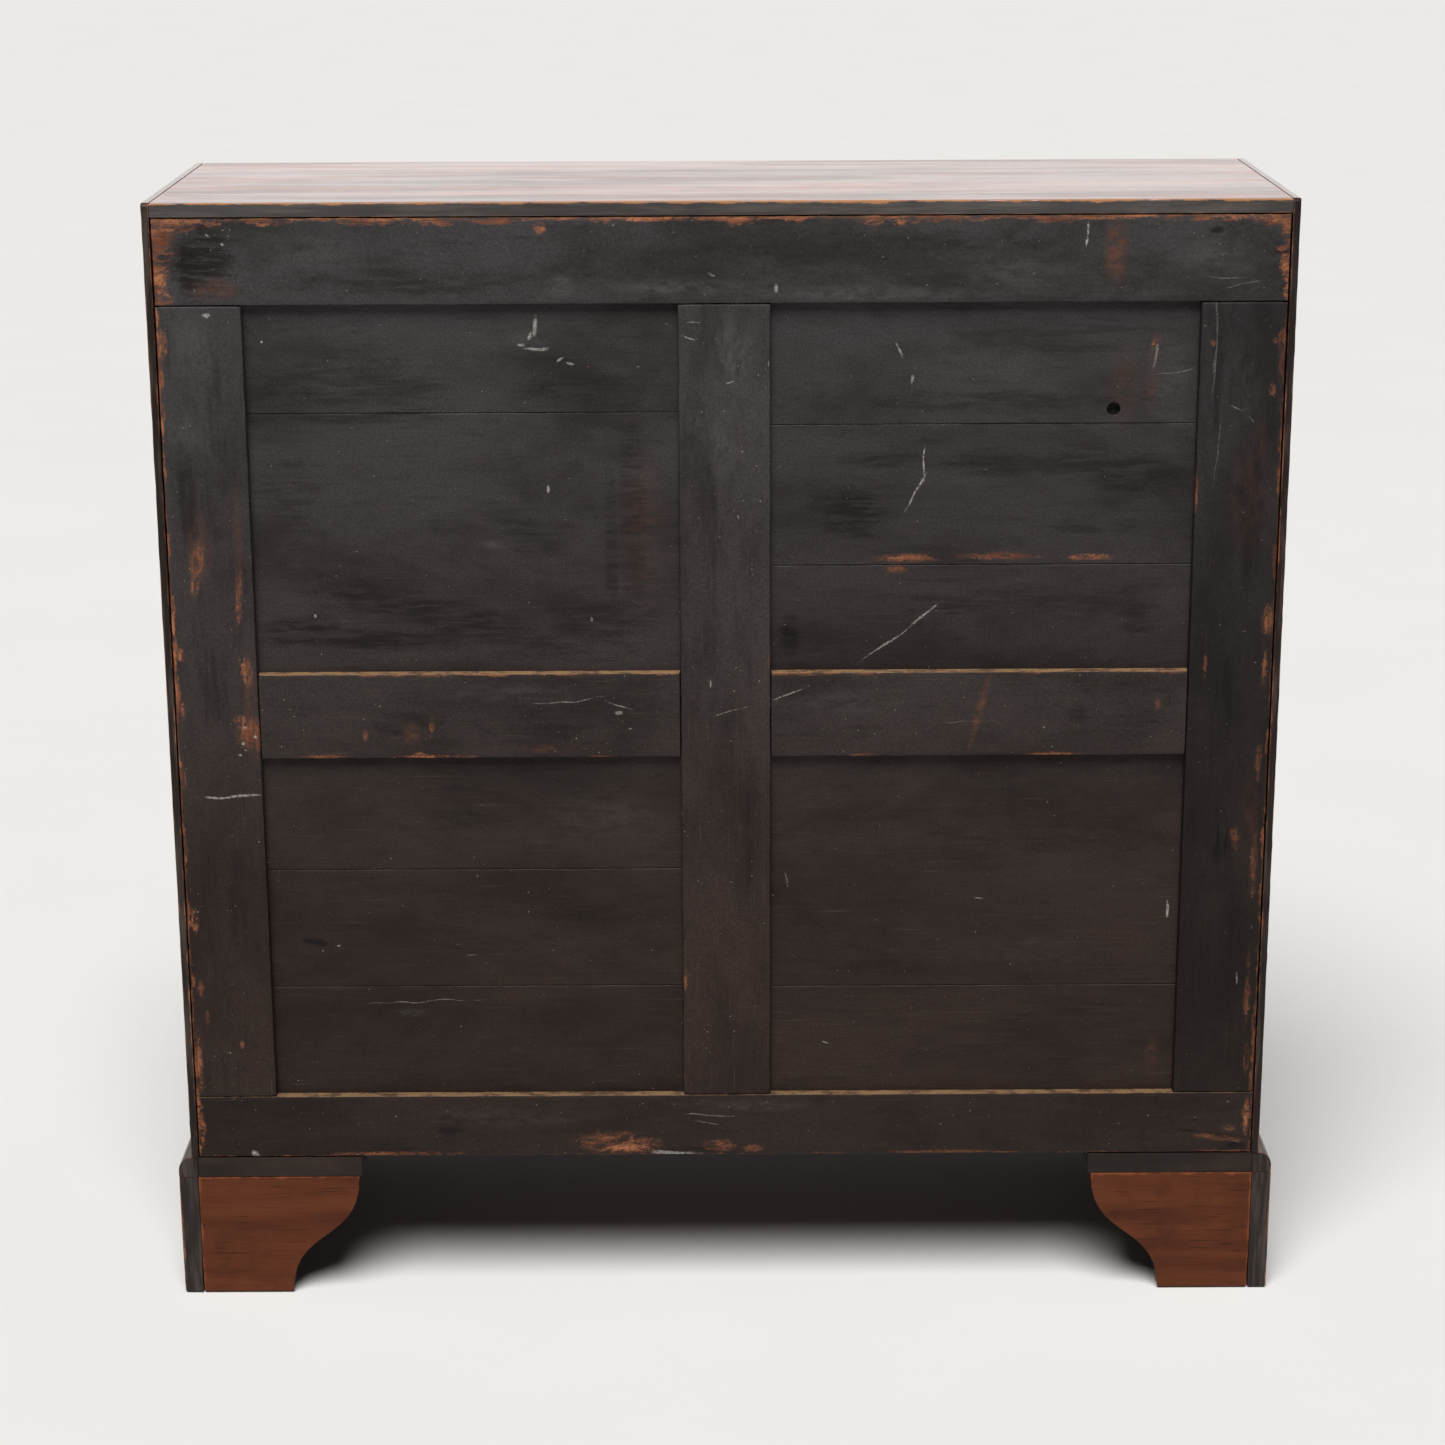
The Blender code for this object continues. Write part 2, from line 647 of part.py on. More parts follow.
def build_door(side_name, cabinet):
    side = SIDES[side_name]
    door_name = f"{side_name}_door"
    axis = holder(f"{door_name}_axis", (side * HINGE_X, HINGE_Y, 0.0))
    meeting_edge, hinge_edge = side * DOOR_X[0], side * DOOR_X[1]
    build_door_stile(f"{door_name}_meeting_stile", meeting_edge, side, 0, axis)
    build_door_stile(f"{door_name}_hinge_stile", hinge_edge, -side, side, axis)
    sight_x = sorted((meeting_edge + side * DOOR_STILE, hinge_edge - side * DOOR_STILE))
    sight_z = (DOOR_Z[0] + DOOR_BOTTOM_RAIL, DOOR_Z[1] - DOOR_TOP_RAIL)
    top_z, bottom_z = (sight_z[1], DOOR_Z[1]), (DOOR_Z[0], sight_z[0])
    build_door_rail(f"{door_name}_top_rail", sight_x, top_z, sight_z[1], axis)
    build_door_rail(f"{door_name}_bottom_rail", sight_x, bottom_z, sight_z[0], axis)
    build_glazing(door_name, sight_x, sight_z, axis)
    for height_name, centre_z in zip(("lower", "upper"), HINGE_ZS):
        build_hinge(door_name, height_name, side, centre_z, cabinet, axis)
    return axis


# Lock and key


def keyhole(start_y, end_y):
    """Cutters for a keyhole: a round hole for the key's shaft over a slot for its bit."""
    half = KEYHOLE_SLOT / 2
    return (
        rod((KEY_X, start_y, KEY_Z), (KEY_X, end_y, KEY_Z), KEYHOLE_R),
        box((KEY_X - half, KEY_X + half), (start_y, end_y), (KEY_Z - KEYHOLE_LONG, KEY_Z)),
    )


def build_escutcheon(axis):
    half_x, half_z = ESCUTCHEON_HALF
    front, back = FRONT_Y - FIT - ESCUTCHEON_T, FRONT_Y - FIT
    plate = rod((KEY_X, back, KEY_Z), (KEY_X, front, KEY_Z), half_x, 32)
    centre = Vector((KEY_X, 0, KEY_Z - half_x / 4))
    stretch = Matrix.Diagonal((1, 1, half_z / half_x, 1))
    to_centre = Matrix.Translation((KEY_X, 0, KEY_Z))
    plate.data.transform(Matrix.Translation(centre) @ stretch @ to_centre.inverted())
    cut(plate, *keyhole(front - PAST, back + PAST))
    finish(plate, "right_door_escutcheon", "brass", axis)


def build_lock_case(axis):
    x = (DOOR_X[0] + LOCK_FROM_EDGE, DOOR_X[0] + LOCK_FROM_EDGE + LOCK_WIDE)
    z = (KEY_Z - LOCK_LOW, KEY_Z + LOCK_HIGH)
    open_y = DOOR_BACK_Y - PAST
    case = box(x, (DOOR_BACK_Y + FIT, DOOR_BACK_Y + LOCK_DEEP), z)
    cut(
        case,
        box(
            (x[0] + LOCK_WALL, x[1] - LOCK_WALL),
            (open_y, DOOR_BACK_Y + LOCK_DEEP - LOCK_BACK_WALL),
            (z[0] + LOCK_WALL, z[1] - LOCK_WALL),
        ),
        box(
            (x[0] - PAST, x[0] + 2 * LOCK_WALL),
            (open_y, DOOR_BACK_Y + BOLT_Y[1] + FIT),
            (KEY_Z + BOLT_Z[0] - FIT, KEY_Z + BOLT_Z[1] + FIT),
        ),
    )
    finish(case, "lock_case", "iron", axis)


def build_lock_bolt(axis):
    """The bolt, drawn back so that its nose lies just inside the door's edge."""
    nose_x = DOOR_X[0] + FIT
    bolt = box(
        (nose_x, nose_x + BOLT_LONG),
        (DOOR_BACK_Y + BOLT_Y[0], DOOR_BACK_Y + BOLT_Y[1]),
        (KEY_Z + BOLT_Z[0], KEY_Z + BOLT_Z[1]),
    )
    finish(bolt, "lock_bolt", "brass", axis)


def build_key(axis):
    """The key at the position where it goes in, with its bit and the plane of its bow upright."""
    bow_y = FRONT_Y - KEY_PROUD + BOW_R
    half = BOW_T / 2
    bow_start, bow_end = (KEY_X - half, bow_y, KEY_Z), (KEY_X + half, bow_y, KEY_Z)
    key = rod(bow_start, bow_end, BOW_R, 32)
    hole_start, hole_end = (KEY_X - BOW_T, bow_y, KEY_Z), (KEY_X + BOW_T, bow_y, KEY_Z)
    cut(key, rod(hole_start, hole_end, BOW_HOLE_R, 32))
    shaft_start = bow_y + (BOW_R + BOW_HOLE_R) / 2
    collar_end = FRONT_Y - ESCUTCHEON_T - 2 * FIT
    join(
        key,
        rod((KEY_X, shaft_start, KEY_Z), (KEY_X, DOOR_BACK_Y + SHAFT_TIP, KEY_Z), SHAFT_R),
        rod((KEY_X, collar_end - SHAFT_R, KEY_Z), (KEY_X, collar_end, KEY_Z), COLLAR_R),
        box(
            (KEY_X - BIT_T / 2, KEY_X + BIT_T / 2),
            (DOOR_BACK_Y + BIT_Y[0], DOOR_BACK_Y + BIT_Y[1]),
            (KEY_Z - BIT_LONG, KEY_Z),
        ),
    )
    finish(key, "key", "iron", axis, (KEY_X, FRONT_Y, KEY_Z))


def build_barrel_bolt(axis):
    """The bolt that holds the left door shut: a rod in two keepers, which slides up into the top."""
    rod_y = DOOR_BACK_Y + BARREL_FROM_DOOR
    plate_front = DOOR_BACK_Y + FIT
    plate = box(
        (BARREL_X - BOLT_PLATE_HALF, BARREL_X + BOLT_PLATE_HALF),
        (plate_front, plate_front + BOLT_PLATE_T),
        BOLT_PLATE_Z,
    )
    keeper_y = (plate_front + BOLT_PLATE_T / 2, DOOR_BACK_Y + KEEPER_DEEP)
    for keeper_z in KEEPERS:
        join(plate, box((BARREL_X - KEEPER_HALF, BARREL_X + KEEPER_HALF), keeper_y, keeper_z))
    bore_z = (BOLT_PLATE_Z[0] + PAST, BOLT_PLATE_Z[1] - PAST)
    cut(plate, rod((BARREL_X, rod_y, bore_z[0]), (BARREL_X, rod_y, bore_z[1]), BARREL_BORE_R))
    finish(plate, "left_door_bolt_plate", "brass", axis)
    foot, tip = (BARREL_X, rod_y, BARREL_TOP - BARREL_LONG), (BARREL_X, rod_y, BARREL_TOP)
    bolt = rod(foot, tip, BARREL_R)
    knob_start, knob_end = (BARREL_X, rod_y, KNOB_Z), (BARREL_X, DOOR_BACK_Y + KNOB_END, KNOB_Z)
    join(bolt, rod(knob_start, knob_end, KNOB_R))
    finish(bolt, "left_door_bolt", "brass", axis, tip)


def main():
    clear_scene()
    cabinet = holder("cabinet", (0.0, 0.0, 0.0))
    build_case(cabinet)
    build_back(cabinet)
    build_base(cabinet)
    left_axis = build_door("left", cabinet)
    right_axis = build_door("right", cabinet)
    build_escutcheon(right_axis)
    build_lock_case(right_axis)
    build_lock_bolt(right_axis)
    build_key(right_axis)
    build_barrel_bolt(left_axis)


main()
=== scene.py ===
"""The finished look of a glazed two-door curio cabinet on bracket feet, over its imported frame.

Metres, +Z up, doors towards -Y and panelled back towards +Y. Left is -X, as the doors are faced.
"""

import json
import math

import bmesh
import bpy
from mathutils import Euler, Matrix, Vector

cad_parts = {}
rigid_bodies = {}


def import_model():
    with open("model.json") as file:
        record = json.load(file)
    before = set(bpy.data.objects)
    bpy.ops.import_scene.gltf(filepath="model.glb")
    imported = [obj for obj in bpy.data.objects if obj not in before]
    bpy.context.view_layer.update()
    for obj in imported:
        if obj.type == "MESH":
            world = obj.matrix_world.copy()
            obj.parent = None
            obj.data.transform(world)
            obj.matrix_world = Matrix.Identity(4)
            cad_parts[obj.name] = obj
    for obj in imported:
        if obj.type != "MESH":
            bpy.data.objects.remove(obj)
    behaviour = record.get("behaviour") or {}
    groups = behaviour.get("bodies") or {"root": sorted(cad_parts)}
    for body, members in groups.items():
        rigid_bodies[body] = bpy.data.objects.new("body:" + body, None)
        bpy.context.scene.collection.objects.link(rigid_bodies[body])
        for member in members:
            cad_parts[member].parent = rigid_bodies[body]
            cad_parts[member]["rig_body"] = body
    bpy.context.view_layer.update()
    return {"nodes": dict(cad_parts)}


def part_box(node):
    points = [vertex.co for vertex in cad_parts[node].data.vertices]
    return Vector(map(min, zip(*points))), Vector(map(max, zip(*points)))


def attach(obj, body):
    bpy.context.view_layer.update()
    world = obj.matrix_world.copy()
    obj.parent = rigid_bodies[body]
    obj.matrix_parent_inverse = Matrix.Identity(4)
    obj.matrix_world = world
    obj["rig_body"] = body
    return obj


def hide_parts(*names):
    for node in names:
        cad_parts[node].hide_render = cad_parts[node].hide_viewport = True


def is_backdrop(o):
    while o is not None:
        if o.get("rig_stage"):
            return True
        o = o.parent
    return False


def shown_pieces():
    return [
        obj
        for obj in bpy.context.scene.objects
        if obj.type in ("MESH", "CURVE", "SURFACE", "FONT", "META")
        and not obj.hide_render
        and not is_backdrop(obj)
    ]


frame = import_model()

NODES = frame["nodes"]
BACK_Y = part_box("back_top_rail")[1].y
FRONT_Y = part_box("left_door_meeting_stile")[0].y
DOOR_BACK_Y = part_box("left_door_meeting_stile")[1].y
RAIL_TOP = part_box("back_top_rail")[1].z
STILE_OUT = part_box("back_stile_right")[1].x
SIDES = {"left": -1, "right": 1}
HINGE_X = 0.51425  # from the cabinet's middle to each door's hinge pins
HALF_LEAF_GAP = 0.00035  # between a hinge leaf's face and its pin's axis
CABLE_HOLE_X = -0.3682
MM = 0.001
NEAR = 0.2 * MM  # how close to a face a point still counts as on it


# Modelling by hand


def take(piece):
    """Leaves this piece alone selected, and active."""
    bpy.ops.object.select_all(action="DESELECT")
    piece.select_set(True)
    bpy.context.view_layer.objects.active = piece


def edit(piece, pick="EDGE"):
    take(piece)
    bpy.ops.object.mode_set(mode="EDIT")
    bpy.ops.mesh.select_mode(type=pick)
    bpy.ops.mesh.select_all(action="SELECT")


def settle(piece):
    """Applies a piece's place, turn and size to its mesh."""
    take(piece)
    bpy.ops.object.transform_apply(location=True, rotation=True, scale=True)


def leave():
    bpy.ops.object.mode_set(mode="OBJECT")


def pick_faces(piece, test):
    """In edit mode, selects the faces whose middle and normal pass the test."""
    bpy.ops.mesh.select_mode(type="FACE")
    bpy.ops.mesh.select_all(action="DESELECT")
    body = bmesh.from_edit_mesh(piece.data)
    for face in body.faces:
        if test(face.calc_center_median(), face.normal):
            face.select_set(True)
    bmesh.update_edit_mesh(piece.data)


def pick_arrises(piece, test=None):
    """In edit mode, selects the sharp edges whose middle passes the test."""
    bpy.ops.mesh.select_mode(type="EDGE")
    bpy.ops.mesh.select_all(action="DESELECT")
    body = bmesh.from_edit_mesh(piece.data)
    for edge in body.edges:
        if len(edge.link_faces) == 2 and edge.calc_face_angle(0) > math.radians(28):
            middle = (edge.verts[0].co + edge.verts[1].co) / 2
            if test is None or test(middle):
                edge.select_set(True)
    bmesh.update_edit_mesh(piece.data)


def soften(piece, width, segments=2, test=None):
    """Rounds the sharp edges that pass the test."""
    edit(piece)
    pick_arrises(piece, test)
    bpy.ops.mesh.bevel(offset=width, segments=segments, affect="EDGES", clamp_overlap=True)
    leave()


def score(piece, axis, *places):
    """Cuts round a piece at the given places along an axis, to hold the flats beside an arris."""
    along = Vector((0, 0, 0))
    along[axis] = 1
    edit(piece)
    for place in places:
        bpy.ops.mesh.select_all(action="SELECT")
        bpy.ops.mesh.bisect(plane_co=along * place, plane_no=along)
    leave()


def divide(piece, axis, step):
    """Cuts round a piece every step along an axis, so that its arrises can wear unevenly."""
    low = min(vertex.co[axis] for vertex in piece.data.vertices)
    high = max(vertex.co[axis] for vertex in piece.data.vertices)
    score(piece, axis, *(low + cut * step for cut in range(1, int((high - low) / step))))


def wear(piece, depth, grain, weight):
    """Wears wood away unevenly: weight says how much each point may lose, from 0 to 1."""
    group = piece.vertex_groups.new(name="worn")
    for vertex in piece.data.vertices:
        share = min(1.0, weight(vertex.co))
        if share > 0:
            group.add([vertex.index], share, "REPLACE")
    clouds = bpy.data.textures.new("wear", "CLOUDS")
    clouds.noise_scale = grain
    clouds.noise_depth = 3
    modifier = piece.modifiers.new("worn", "DISPLACE")
    modifier.texture = clouds
    modifier.texture_coords = "LOCAL"
    modifier.mid_level = 0.0
    modifier.strength = -depth
    modifier.vertex_group = "worn"
    take(piece)
    bpy.ops.object.modifier_apply(modifier="worn")
    piece.vertex_groups.clear()


def smooth(piece, angle=35):
    """Smooth shading that keeps flat faces flat beside their rounded arrises."""
    take(piece)
    bpy.ops.object.shade_smooth_by_angle(angle=math.radians(angle))
    modifier = piece.modifiers.new("flats", "WEIGHTED_NORMAL")
    modifier.keep_sharp = True
    modifier.weight = 80
    bpy.ops.object.modifier_apply(modifier="flats")


def seat(piece, name, body, look, stands_for=None):
    """Names a finished piece, gives it its material and hangs it on its body."""
    settle(piece)
    piece.name = name
    piece.data.name = name
    piece.data.materials.clear()
    piece.data.materials.append(look)
    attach(piece, body)
    if stands_for:
        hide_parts(stands_for)


def start_from(node):
    """A new piece that starts as a node's solid, its loose triangles merged into whole faces."""
    piece = bpy.data.objects.new(f"{node}_start", NODES[node].data.copy())
    bpy.context.scene.collection.objects.link(piece)
    edit(piece, "VERT")
    bpy.ops.mesh.remove_doubles(threshold=0.00001)
    bpy.ops.mesh.dissolve_limited(angle_limit=math.radians(0.5))
    leave()
    bpy.ops.mesh.customdata_custom_splitnormals_clear()
    return piece


def stand_in(piece, node, look, ending="finished"):
    """Seats a piece in place of the node that it started from."""
    body = NODES[node]["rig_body"]
    seat(piece, f"{node}_{ending}", body, look, node)


def joined(pieces):
    take(pieces[0])
    for piece in pieces[1:]:
        piece.select_set(True)
    bpy.ops.object.join()
    return bpy.context.object


def copied(piece, move, turn):
    """A copy with a mesh of its own, turned about the world's origin and then moved."""
    other = piece.copy()
    other.data = piece.data.copy()
    bpy.context.scene.collection.objects.link(other)
    other.data.transform(turn)
    other.data.transform(Matrix.Translation(move))
    return other


# Finishes


def shade(red, green, blue):
    """A colour as seen on a screen, from 0 to 255, made linear."""

    def linear(value):
        value /= 255
        return value / 12.92 if value <= 0.04045 else ((value + 0.055) / 1.055) ** 2.4

    return (linear(red), linear(green), linear(blue), 1.0)


def add(tree, kind, inputs=None, **settings):
    """Adds a shader node. inputs gives each socket a value, or another node's output."""
    made = tree.nodes.new(f"ShaderNode{kind}")
    for name, value in settings.items():
        setattr(made, name, value)
    for socket, value in (inputs or {}).items():
        if isinstance(value, bpy.types.NodeSocket):
            tree.links.new(value, made.inputs[socket])
        else:
            made.inputs[socket].default_value = value
    return made


def after(kind, inputs, **settings):
    """Adds a shader node to the tree that its inputs come from."""
    sources = [value for value in inputs.values() if isinstance(value, bpy.types.NodeSocket)]
    return add(sources[0].id_data, kind, inputs, **settings)


def calc(operation, *values, clamp=False):
    inputs = dict(enumerate(values))
    return after("Math", inputs, operation=operation, use_clamp=clamp).outputs[0]


def product(first, second, clamp=False):
    return calc("MULTIPLY", first, second, clamp=clamp)


def scaled(value, by, onto, clamp=False):
    """A value times a number, added onto another."""
    return calc("MULTIPLY_ADD", value, by, onto, clamp=clamp)


def mix(share, first, second, way="MIX"):
    inputs = {0: share, 6: first, 7: second}
    return after("Mix", inputs, data_type="RGBA", blend_type=way).outputs[2]


def fade(value, start, end, low=0.0, high=1.0):
    """Goes smoothly from low to high as value goes from start to end."""
    inputs = {"Value": value, "From Min": start, "From Max": end, "To Min": low, "To Max": high}
    return after("MapRange", inputs, interpolation_type="SMOOTHSTEP").outputs[0]


def noise(where, scale, detail=3.0, rough=0.5, swirl=0.0):
    inputs = {"Vector": where, "Scale": scale, "Detail": detail, "Roughness": rough}
    inputs["Distortion"] = swirl
    return after("TexNoise", inputs).outputs[0]


def place_of(tree):
    return add(tree, "TexCoord").outputs["Object"]


def parts_of(vector):
    """A vector's X, Y and Z."""
    return after("SeparateXYZ", {0: vector}).outputs


def facing_of(tree):
    """The X, Y and Z of the way that the surface faces."""
    return parts_of(add(tree, "NewGeometry").outputs["Normal"])


def drawn_out(where, grain, stretch, shift=0.0):
    """Place stretched along the grain, so that a pattern on it runs with the wood."""
    scale = [1.0, 1.0, 1.0]
    scale["XYZ".index(grain)] = 1 / stretch
    inputs = {"Vector": where, "Scale": scale, "Location": (shift, shift * 0.7, shift * 1.3)}
    return after("Mapping", inputs).outputs[0]


def along_grain(where, grain, stretch, shift, *pattern):
    """Noise drawn out along the grain."""
    return noise(drawn_out(where, grain, stretch, shift), *pattern)


def group(name, inputs):
    """A node group with one number out."""
    tree = bpy.data.node_groups.new(name, "ShaderNodeTree")
    for socket, kind in inputs.items():
        tree.interface.new_socket(name=socket, in_out="INPUT", socket_type=f"NodeSocket{kind}")
    tree.interface.new_socket(name="Share", in_out="OUTPUT", socket_type="NodeSocketFloat")
    return tree, tree.nodes.new("NodeGroupInput").outputs, tree.nodes.new("NodeGroupOutput").inputs


def make_spot():
    """1 inside a flat oval on the back and 0 outside, with an edge that follows the ragged noise."""
    sockets = {"Place": "Vector", "Middle": "Vector", "Half": "Vector", "Turn": "Float"}
    sockets |= {"Ragged": "Float", "Bite": "Float", "Soft": "Float"}
    tree, given, out = group("spot", sockets)
    off = after("VectorMath", {0: given["Place"], 1: given["Middle"]}, operation="SUBTRACT")
    inputs = {"Vector": off.outputs[0], "Angle": given["Turn"]}
    turned = after("VectorRotate", inputs, rotation_type="Y_AXIS")
    sized = after("VectorMath", {0: turned.outputs[0], 1: given["Half"]}, operation="DIVIDE")
    far = after("VectorMath", {0: sized.outputs[0]}, operation="LENGTH").outputs["Value"]
    bitten = scaled(calc("SUBTRACT", given["Ragged"], 0.5), given["Bite"], far)
    edge = (calc("ADD", 1.0, given["Soft"]), calc("SUBTRACT", 1.0, given["Soft"]))
    tree.links.new(fade(bitten, *edge), out[0])
    return tree


def make_arris():
    """Distance to the nearest arris of a board with the given low and high corners."""
    tree, given, out = group("arris", {"Place": "Vector", "Low": "Vector", "High": "Vector"})
    under = after("VectorMath", {0: given["Place"], 1: given["Low"]}, operation="SUBTRACT")
    over = after("VectorMath", {0: given["High"], 1: given["Place"]}, operation="SUBTRACT")
    least = after("VectorMath", {0: under.outputs[0], 1: over.outputs[0]}, operation="MINIMUM")
    parts = parts_of(least.outputs[0])
    total = calc("ADD", calc("ADD", parts[0], parts[1]), parts[2])
    most = calc("MAXIMUM", calc("MAXIMUM", parts[0], parts[1]), parts[2])
    tree.links.new(calc("SUBTRACT", total, most), out[0])
    return tree


SPOT = make_spot()
ARRIS = make_arris()


def most_of(shares):
    """The strongest of several shares."""
    best = 0.0
    for share in shares:
        best = calc("MAXIMUM", best, share)
    return best


def spots(where, ragged, marks, bite, soft=0.12):
    """The share of a surface that the listed marks cover. A mark is the X and Z of its middle
    and its half length and half height, in millimetres, then its strength and any turn in degrees."""
    shares = []
    for x, z, half_long, half_high, strength, *turn in marks:
        inputs = {
            "Place": where,
            "Middle": (x * MM, BACK_Y, z * MM),
            "Half": (half_long * MM, 0.05, half_high * MM),
            "Turn": math.radians(sum(turn)),
            "Ragged": ragged,
            "Bite": bite,
            "Soft": soft,
        }
        covered = after("Group", inputs, node_tree=SPOT).outputs[0]
        shares.append(product(covered, strength))
    return most_of(shares)


def arris_of(where, low, high):
    inputs = {"Place": where, "Low": low, "High": high}
    return after("Group", inputs, node_tree=ARRIS).outputs[0]


def new_look(name):
    look = bpy.data.materials.new(name)
    look.use_nodes = True
    tree = look.node_tree
    return look, tree, tree.nodes["Principled BSDF"].inputs


def bump(height, distance, strength):
    inputs = {"Height": height, "Distance": distance, "Strength": strength}
    return after("Bump", inputs).outputs[0]


def dress(tree, shader, colour, gloss, relief):
    """Links a finish's colour, roughness and relief to its shader."""
    for socket, value in (("Base Color", colour), ("Roughness", gloss), ("Normal", relief)):
        tree.links.new(value, shader[socket])


def old_paint(node, grain, marks, rubbed, shift, tone):
    """Thin, aged black paint on one member of the back, with its own marks and rubbed edges.

    marks gives lists of spots: bare wood, pale flecks, dark stains, haze and rust. rubbed lists
    straight lines along which the paint is worn off: an axis, a place, a reach and a strength."""
    look, tree, shader = new_look(f"old_paint_on_{node}")
    where = place_of(tree)
    parts = parts_of(where)
    low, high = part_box(node)

    clouds = along_grain(where, grain, 2.2, shift, 8, 6, 0.68, 0.3)
    brushed = along_grain(where, grain, 8, shift, 150, 5, 0.68)
    hairs = along_grain(where, grain, 40, shift, 620, 3, 0.6)
    grit = noise(where, 460, 4, 0.75)
    coarse = along_grain(where, grain, 2.4, shift, 120, 5, 0.75)
    ragged = scaled(grit, 0.35, product(coarse, 0.65))
    blotches = along_grain(where, grain, 1.5, shift + 5, 30, 6, 0.7)

    # Painted reflection: the paint is made lighter and blue-grey towards the top, as the sheen of a pale
    # room above, and darker and browner towards the bottom, as the floor's reflection.
    painted_sheen_height = fade(parts[2], 0.30, 1.08)
    dark = mix(painted_sheen_height, shade(26, 17, 14), shade(31, 28, 28))
    light = mix(painted_sheen_height, shade(38, 28, 24), shade(50, 48, 49))
    colour = mix(fade(clouds, 0.32, 0.62), dark, light)
    colour = mix(fade(brushed, 0.52, 0.72, 0.0, 0.34), colour, shade(15, 10, 8))
    colour = mix(fade(blotches, 0.56, 0.76, 0.0, 0.45), colour, shade(17, 11, 9))
    sand = fade(grit, 0.32, 0.68, 0.74, 1.30)
    colour = after("VectorMath", {0: colour, "Scale": sand}, operation="SCALE").outputs[0]
    colour = mix(fade(hairs, 0.60, 0.80, 0.0, 0.40), colour, shade(70, 60, 52))

    for kind, bite, soft, breaks, tint in (
        ("haze", 2.0, 0.6, fade(coarse, 0.42, 0.62, 0.05, 0.6), shade(92, 90, 88)),
        ("dark", 2.2, 0.5, fade(brushed, 0.40, 0.56, 0.25, 1.15), shade(12, 7, 6)),
        ("rust", 2.2, 0.5, fade(coarse, 0.40, 0.62, 0.1, 0.9), shade(86, 52, 36)),
    ):
        covered = spots(where, ragged, marks.get(kind, ()), bite, soft)
        colour = mix(product(covered, breaks), colour, tint)

    broken = along_grain(where, grain, 2.0, shift + 9, 44, 5, 0.7)
    lines = []
    for axis, place, reach, strength in rubbed:
        far = calc("ABSOLUTE", calc("SUBTRACT", parts["XYZ".index(axis)], place))
        far = scaled(calc("SUBTRACT", ragged, 0.5), reach * 2, far)
        wobble = product(fade(broken, 0.40, 0.66, 0.2, 1.7), reach)
        worn = fade(calc("DIVIDE", far, wobble), 1.1, 0.7)
        thin = fade(far, reach * 0.62, reach * 0.30)
        thin = product(thin, fade(broken, 0.30, 0.50, 0.35, 0.85))
        lines.append(product(calc("MAXIMUM", worn, thin), strength))
    arris = arris_of(where, low, high)
    nicked = fade(scaled(coarse, -0.010, arris), -0.0042, -0.0054)
    lines.append(product(nicked, 0.0 if "panel" in node else 0.5))
    flecks = fade(along_grain(where, grain, 1.6, shift + 2, 210, 3, 0.6), 0.735, 0.765)
    lines.append(product(flecks, 0.35))
    bare = most_of([*lines, spots(where, ragged, marks.get("bare", ()), 6.5, 0.35)])
    bare = product(bare, fade(coarse, 0.38, 0.54, 0.05, 0.95), clamp=True)
    wood = mix(fade(brushed, 0.35, 0.65), shade(90, 54, 38), shade(158, 100, 68))
    wood = mix(fade(blotches, 0.42, 0.65, 0.0, 0.75), wood, shade(74, 40, 27))
    wood = mix(fade(grit, 0.50, 0.7, 0.0, 0.6), wood, shade(52, 32, 23))
    colour = mix(bare, colour, wood)

    wander = after("TexNoise", {"Vector": where, "Scale": 26.0, "Detail": 1.0}).outputs["Color"]
    inputs = {0: wander, 1: (0.011, 0.011, 0.011), 2: (-0.0055, -0.0055, -0.0055)}
    strayed = after("VectorMath", inputs, operation="MULTIPLY_ADD").outputs[0]
    strayed = after("VectorMath", {0: where, 1: strayed}, operation="ADD").outputs[0]
    pale = spots(strayed, ragged, marks.get("pale", ()), 5.5, 0.4)
    pale = product(pale, fade(grit, 0.40, 0.56, 0.15, 1.0))
    colour = mix(pale, colour, shade(150, 146, 140))
    dots = fade(noise(where, 300, 2, 0.5), 0.745, 0.775)
    colour = mix(product(dots, 0.5), colour, shade(140, 134, 124))

    facing = facing_of(tree)
    dusty = 0.95 if "rail" in node else 0.0
    ledge = fade(coarse, 0.40, 0.56, 0.25 * dusty, dusty)
    ledge = product(fade(facing[2], 0.45, 0.9), ledge)
    colour = mix(ledge, colour, shade(112, 88, 62))
    colour = mix(1.0, colour, (tone, tone, tone, 1.0), "MULTIPLY")
    inside = fade(facing[1], -0.3, -0.8)
    lining = mix(fade(clouds, 0.35, 0.65), shade(82, 44, 28), shade(124, 72, 44))
    lining = mix(fade(hairs, 0.5, 0.7, 0.0, 0.5), lining, shade(60, 32, 22))
    colour = mix(inside, colour, lining)

    gloss = fade(clouds, 0.3, 0.7, 0.64, 0.48)
    gloss = calc("ADD", gloss, product(bare, 0.22))
    gloss = calc("ADD", gloss, fade(brushed, 0.3, 0.7, 0.0, 0.12), clamp=True)
    shader["Specular IOR Level"].default_value = 0.17
    height = scaled(brushed, 0.5, product(hairs, 0.35))
    height = scaled(grit, 0.15, height)
    height = scaled(bare, -0.5, height)
    height = scaled(pale, 0.4, height)
    dress(tree, shader, colour, gloss, bump(height, 0.0005, 0.8))
    return look


